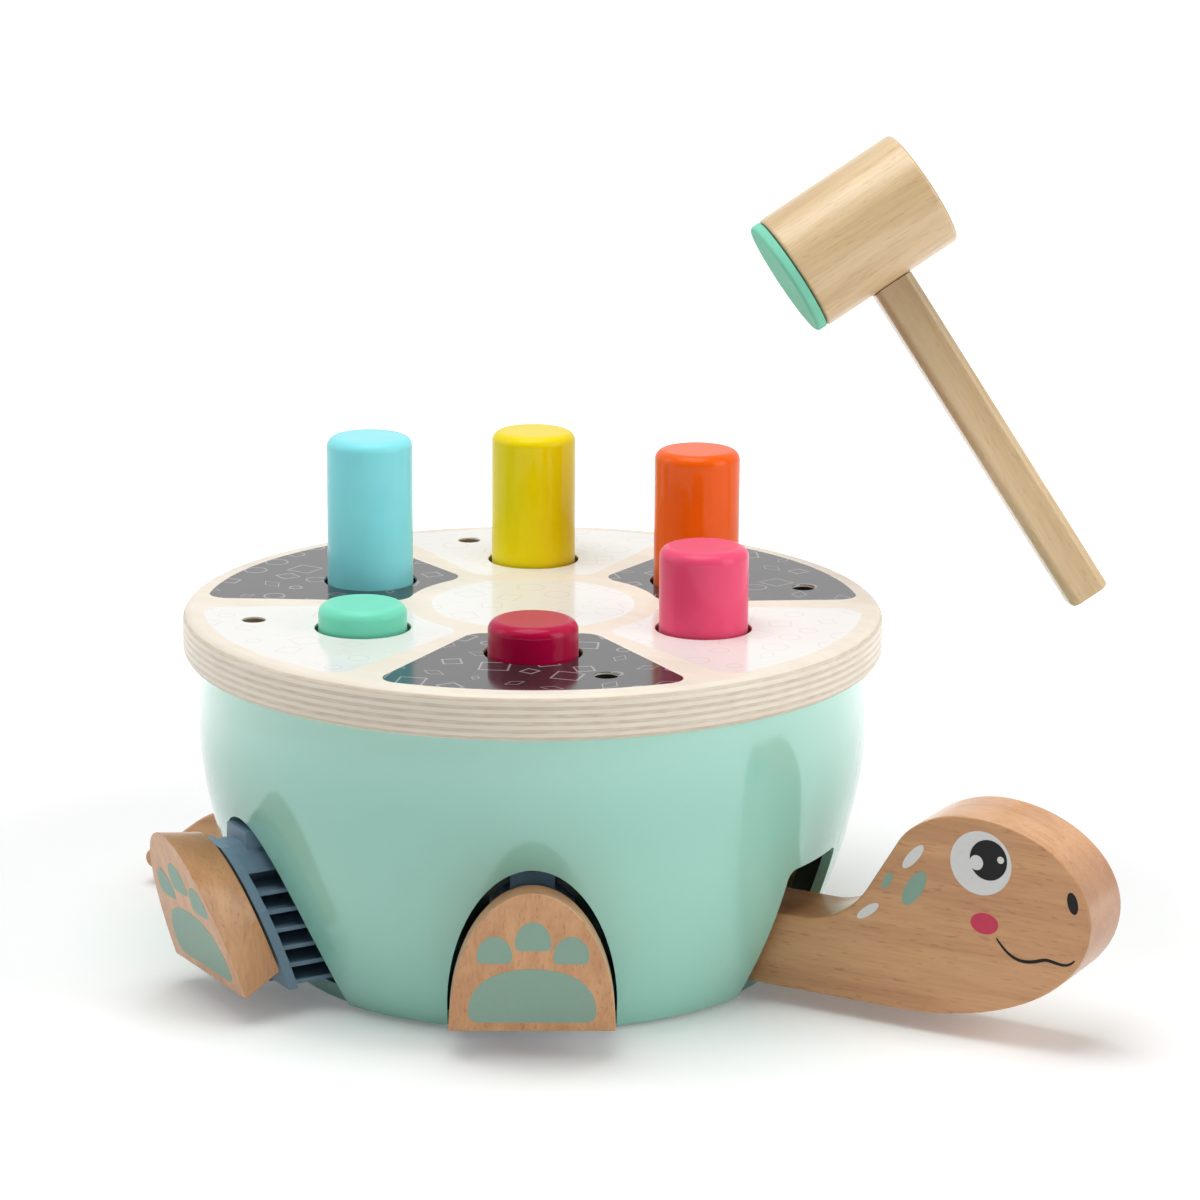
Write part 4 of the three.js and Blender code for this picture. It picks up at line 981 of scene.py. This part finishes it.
# The photograph's view: a long lens a little above the toy, almost level
CAMERA_PLACE = Vector((565.04, -978.68, 387.98)) * MM
CAMERA_AIM = Vector((-0.4706, 0.8479, -0.2441))
CAMERA_ROLL = math.radians(0.387)
LENS_MM, SENSOR_MM = 122.1, 36.0


@node_material
def white_paper(tree):
    """Matt paper that looks plain white far away, with the toy's shadow kept round it."""
    path = add(tree, "ShaderNodeLightPath").outputs
    seen = maths("MAXIMUM", path["Is Camera Ray"], path["Is Glossy Ray"])
    seen = maths("MAXIMUM", seen, path["Is Transmission Ray"])
    fade = ramp(vectors("LENGTH", own_place(tree)), GLOW_FROM, GLOW_TO, GLOW_NEAR, 1.0, "SMOOTHSTEP")
    return {"Base Color": linear("#F8F8F8"), "Roughness": 0.9, "Specular IOR Level": 0.0,
            "Emission Color": (1, 1, 1, 1), "Emission Strength": maths("MULTIPLY", seen, fade)}


class TOY_OT_stage(bpy.types.Operator):
    """White floor, soft lights and the camera"""
    bl_idname = "toy.stage"
    bl_label = "Stage"

    def execute(self, context):
        scene = context.scene
        scene.view_settings.view_transform = "Standard"
        for step in (self.add_floor, self.add_sky, self.add_lamps, self.add_camera):
            step(scene)
        return {"FINISHED"}

    def add_floor(self, scene):
        """Paper under the toy and all the way to the horizon."""
        bm = bmesh.new()
        bmesh.ops.create_grid(bm, x_segments=1, y_segments=1, size=FLOOR_HALF)
        bmesh.ops.translate(bm, vec=(0, 0, -FLOOR_DROP), verts=bm.verts)
        mesh = bpy.data.meshes.new("studio_floor")
        bm.to_mesh(mesh)
        bm.free()
        mesh.materials.append(white_paper("white_paper"))
        floor = bpy.data.objects.new("studio_floor", mesh)
        scene.collection.objects.link(floor)

    def add_sky(self, scene):
        """White where it is seen, but reflections of the camera's side of the studio are dark."""
        world = bpy.data.worlds.new("studio")
        world.use_nodes = True
        tree = world.node_tree
        tree.nodes.clear()
        path = add(tree, "ShaderNodeLightPath").outputs
        direction = add(tree, "ShaderNodeTexCoord").outputs["Generated"]
        toward = vectors("DOT_PRODUCT", direction, FRONT)
        mirrored = ramp(toward, DARK_FROM, DARK_TO, 1.0, DARK_LEVEL, "SMOOTHSTEP")
        mirror = maths("MULTIPLY", path["Is Glossy Ray"], mirrored)
        direct = maths("MAXIMUM", path["Is Camera Ray"], path["Is Transmission Ray"])
        seen = maths("MAXIMUM", mirror, direct)
        level = maths("MULTIPLY_ADD", path["Is Diffuse Ray"], AMBIENT, seen)
        sky = add(tree, "ShaderNodeBackground", {"Color": (1, 1, 1, 1), "Strength": level})
        add(tree, "ShaderNodeOutputWorld", {"Surface": sky.outputs["Background"]})
        scene.world = world

    def add_lamps(self, scene):
        """Soft boxes above and on both sides."""
        for name, place, size, watts in LAMPS:
            light = bpy.data.lights.new(name, "AREA")
            light.shape = "RECTANGLE"
            light.size, light.size_y = size
            light.energy = watts
            lamp = bpy.data.objects.new(name, light)
            lamp.location = place
            lamp.rotation_euler = (LAMP_TARGET - Vector(place)).to_track_quat("-Z", "Y").to_euler()
            scene.collection.objects.link(lamp)

    def add_camera(self, scene):
        """The photograph's camera."""
        data = bpy.data.cameras.new("photo_camera")
        data.lens, data.sensor_width = LENS_MM, SENSOR_MM
        camera = bpy.data.objects.new("photo_camera", data)
        forward = CAMERA_AIM.normalized()
        right = forward.cross(Vector((0, 0, 1))).normalized()
        upward = right.cross(forward)
        level = Matrix((right, upward, -forward)).transposed().to_4x4()
        camera.matrix_world = (Matrix.Translation(CAMERA_PLACE) @ level
                               @ Matrix.Rotation(CAMERA_ROLL, 4, "Z"))
        scene.collection.objects.link(camera)
        scene.camera = camera


OPERATORS = (TOY_OT_top_plate, TOY_OT_pegs, TOY_OT_drum, TOY_OT_feet, TOY_OT_head_and_tail, TOY_OT_mallet,
             TOY_OT_screws, TOY_OT_linkage, TOY_OT_stage)


class TOY_PT_panel(bpy.types.Panel):
    """Sizes, colours and the steps that build the toy"""
    bl_idname = "TOY_PT_panel"
    bl_label = "Turtle pounding toy"
    bl_space_type = "VIEW_3D"
    bl_region_type = "UI"
    bl_category = "Toy"

    def draw(self, context):
        for operator in OPERATORS:
            self.layout.operator(operator.bl_idname)
        for group in (context.scene.toy_sizes, context.scene.toy_colours):
            column = self.layout.column()
            for name in group.__annotations__:
                column.prop(group, name)


CLASSES = (ToySizes, ToyColours, *OPERATORS, TOY_PT_panel)


def register():
    for cls in CLASSES:
        bpy.utils.register_class(cls)
    bpy.types.Scene.toy_sizes = PointerProperty(type=ToySizes)
    bpy.types.Scene.toy_colours = PointerProperty(type=ToyColours)


def unregister():
    del bpy.types.Scene.toy_colours
    del bpy.types.Scene.toy_sizes
    for cls in reversed(CLASSES):
        bpy.utils.unregister_class(cls)


def main():
    register()
    for operator in OPERATORS:
        group, name = operator.bl_idname.split(".")
        getattr(getattr(bpy.ops, group), name)()


if __name__ == "__main__":
    main()
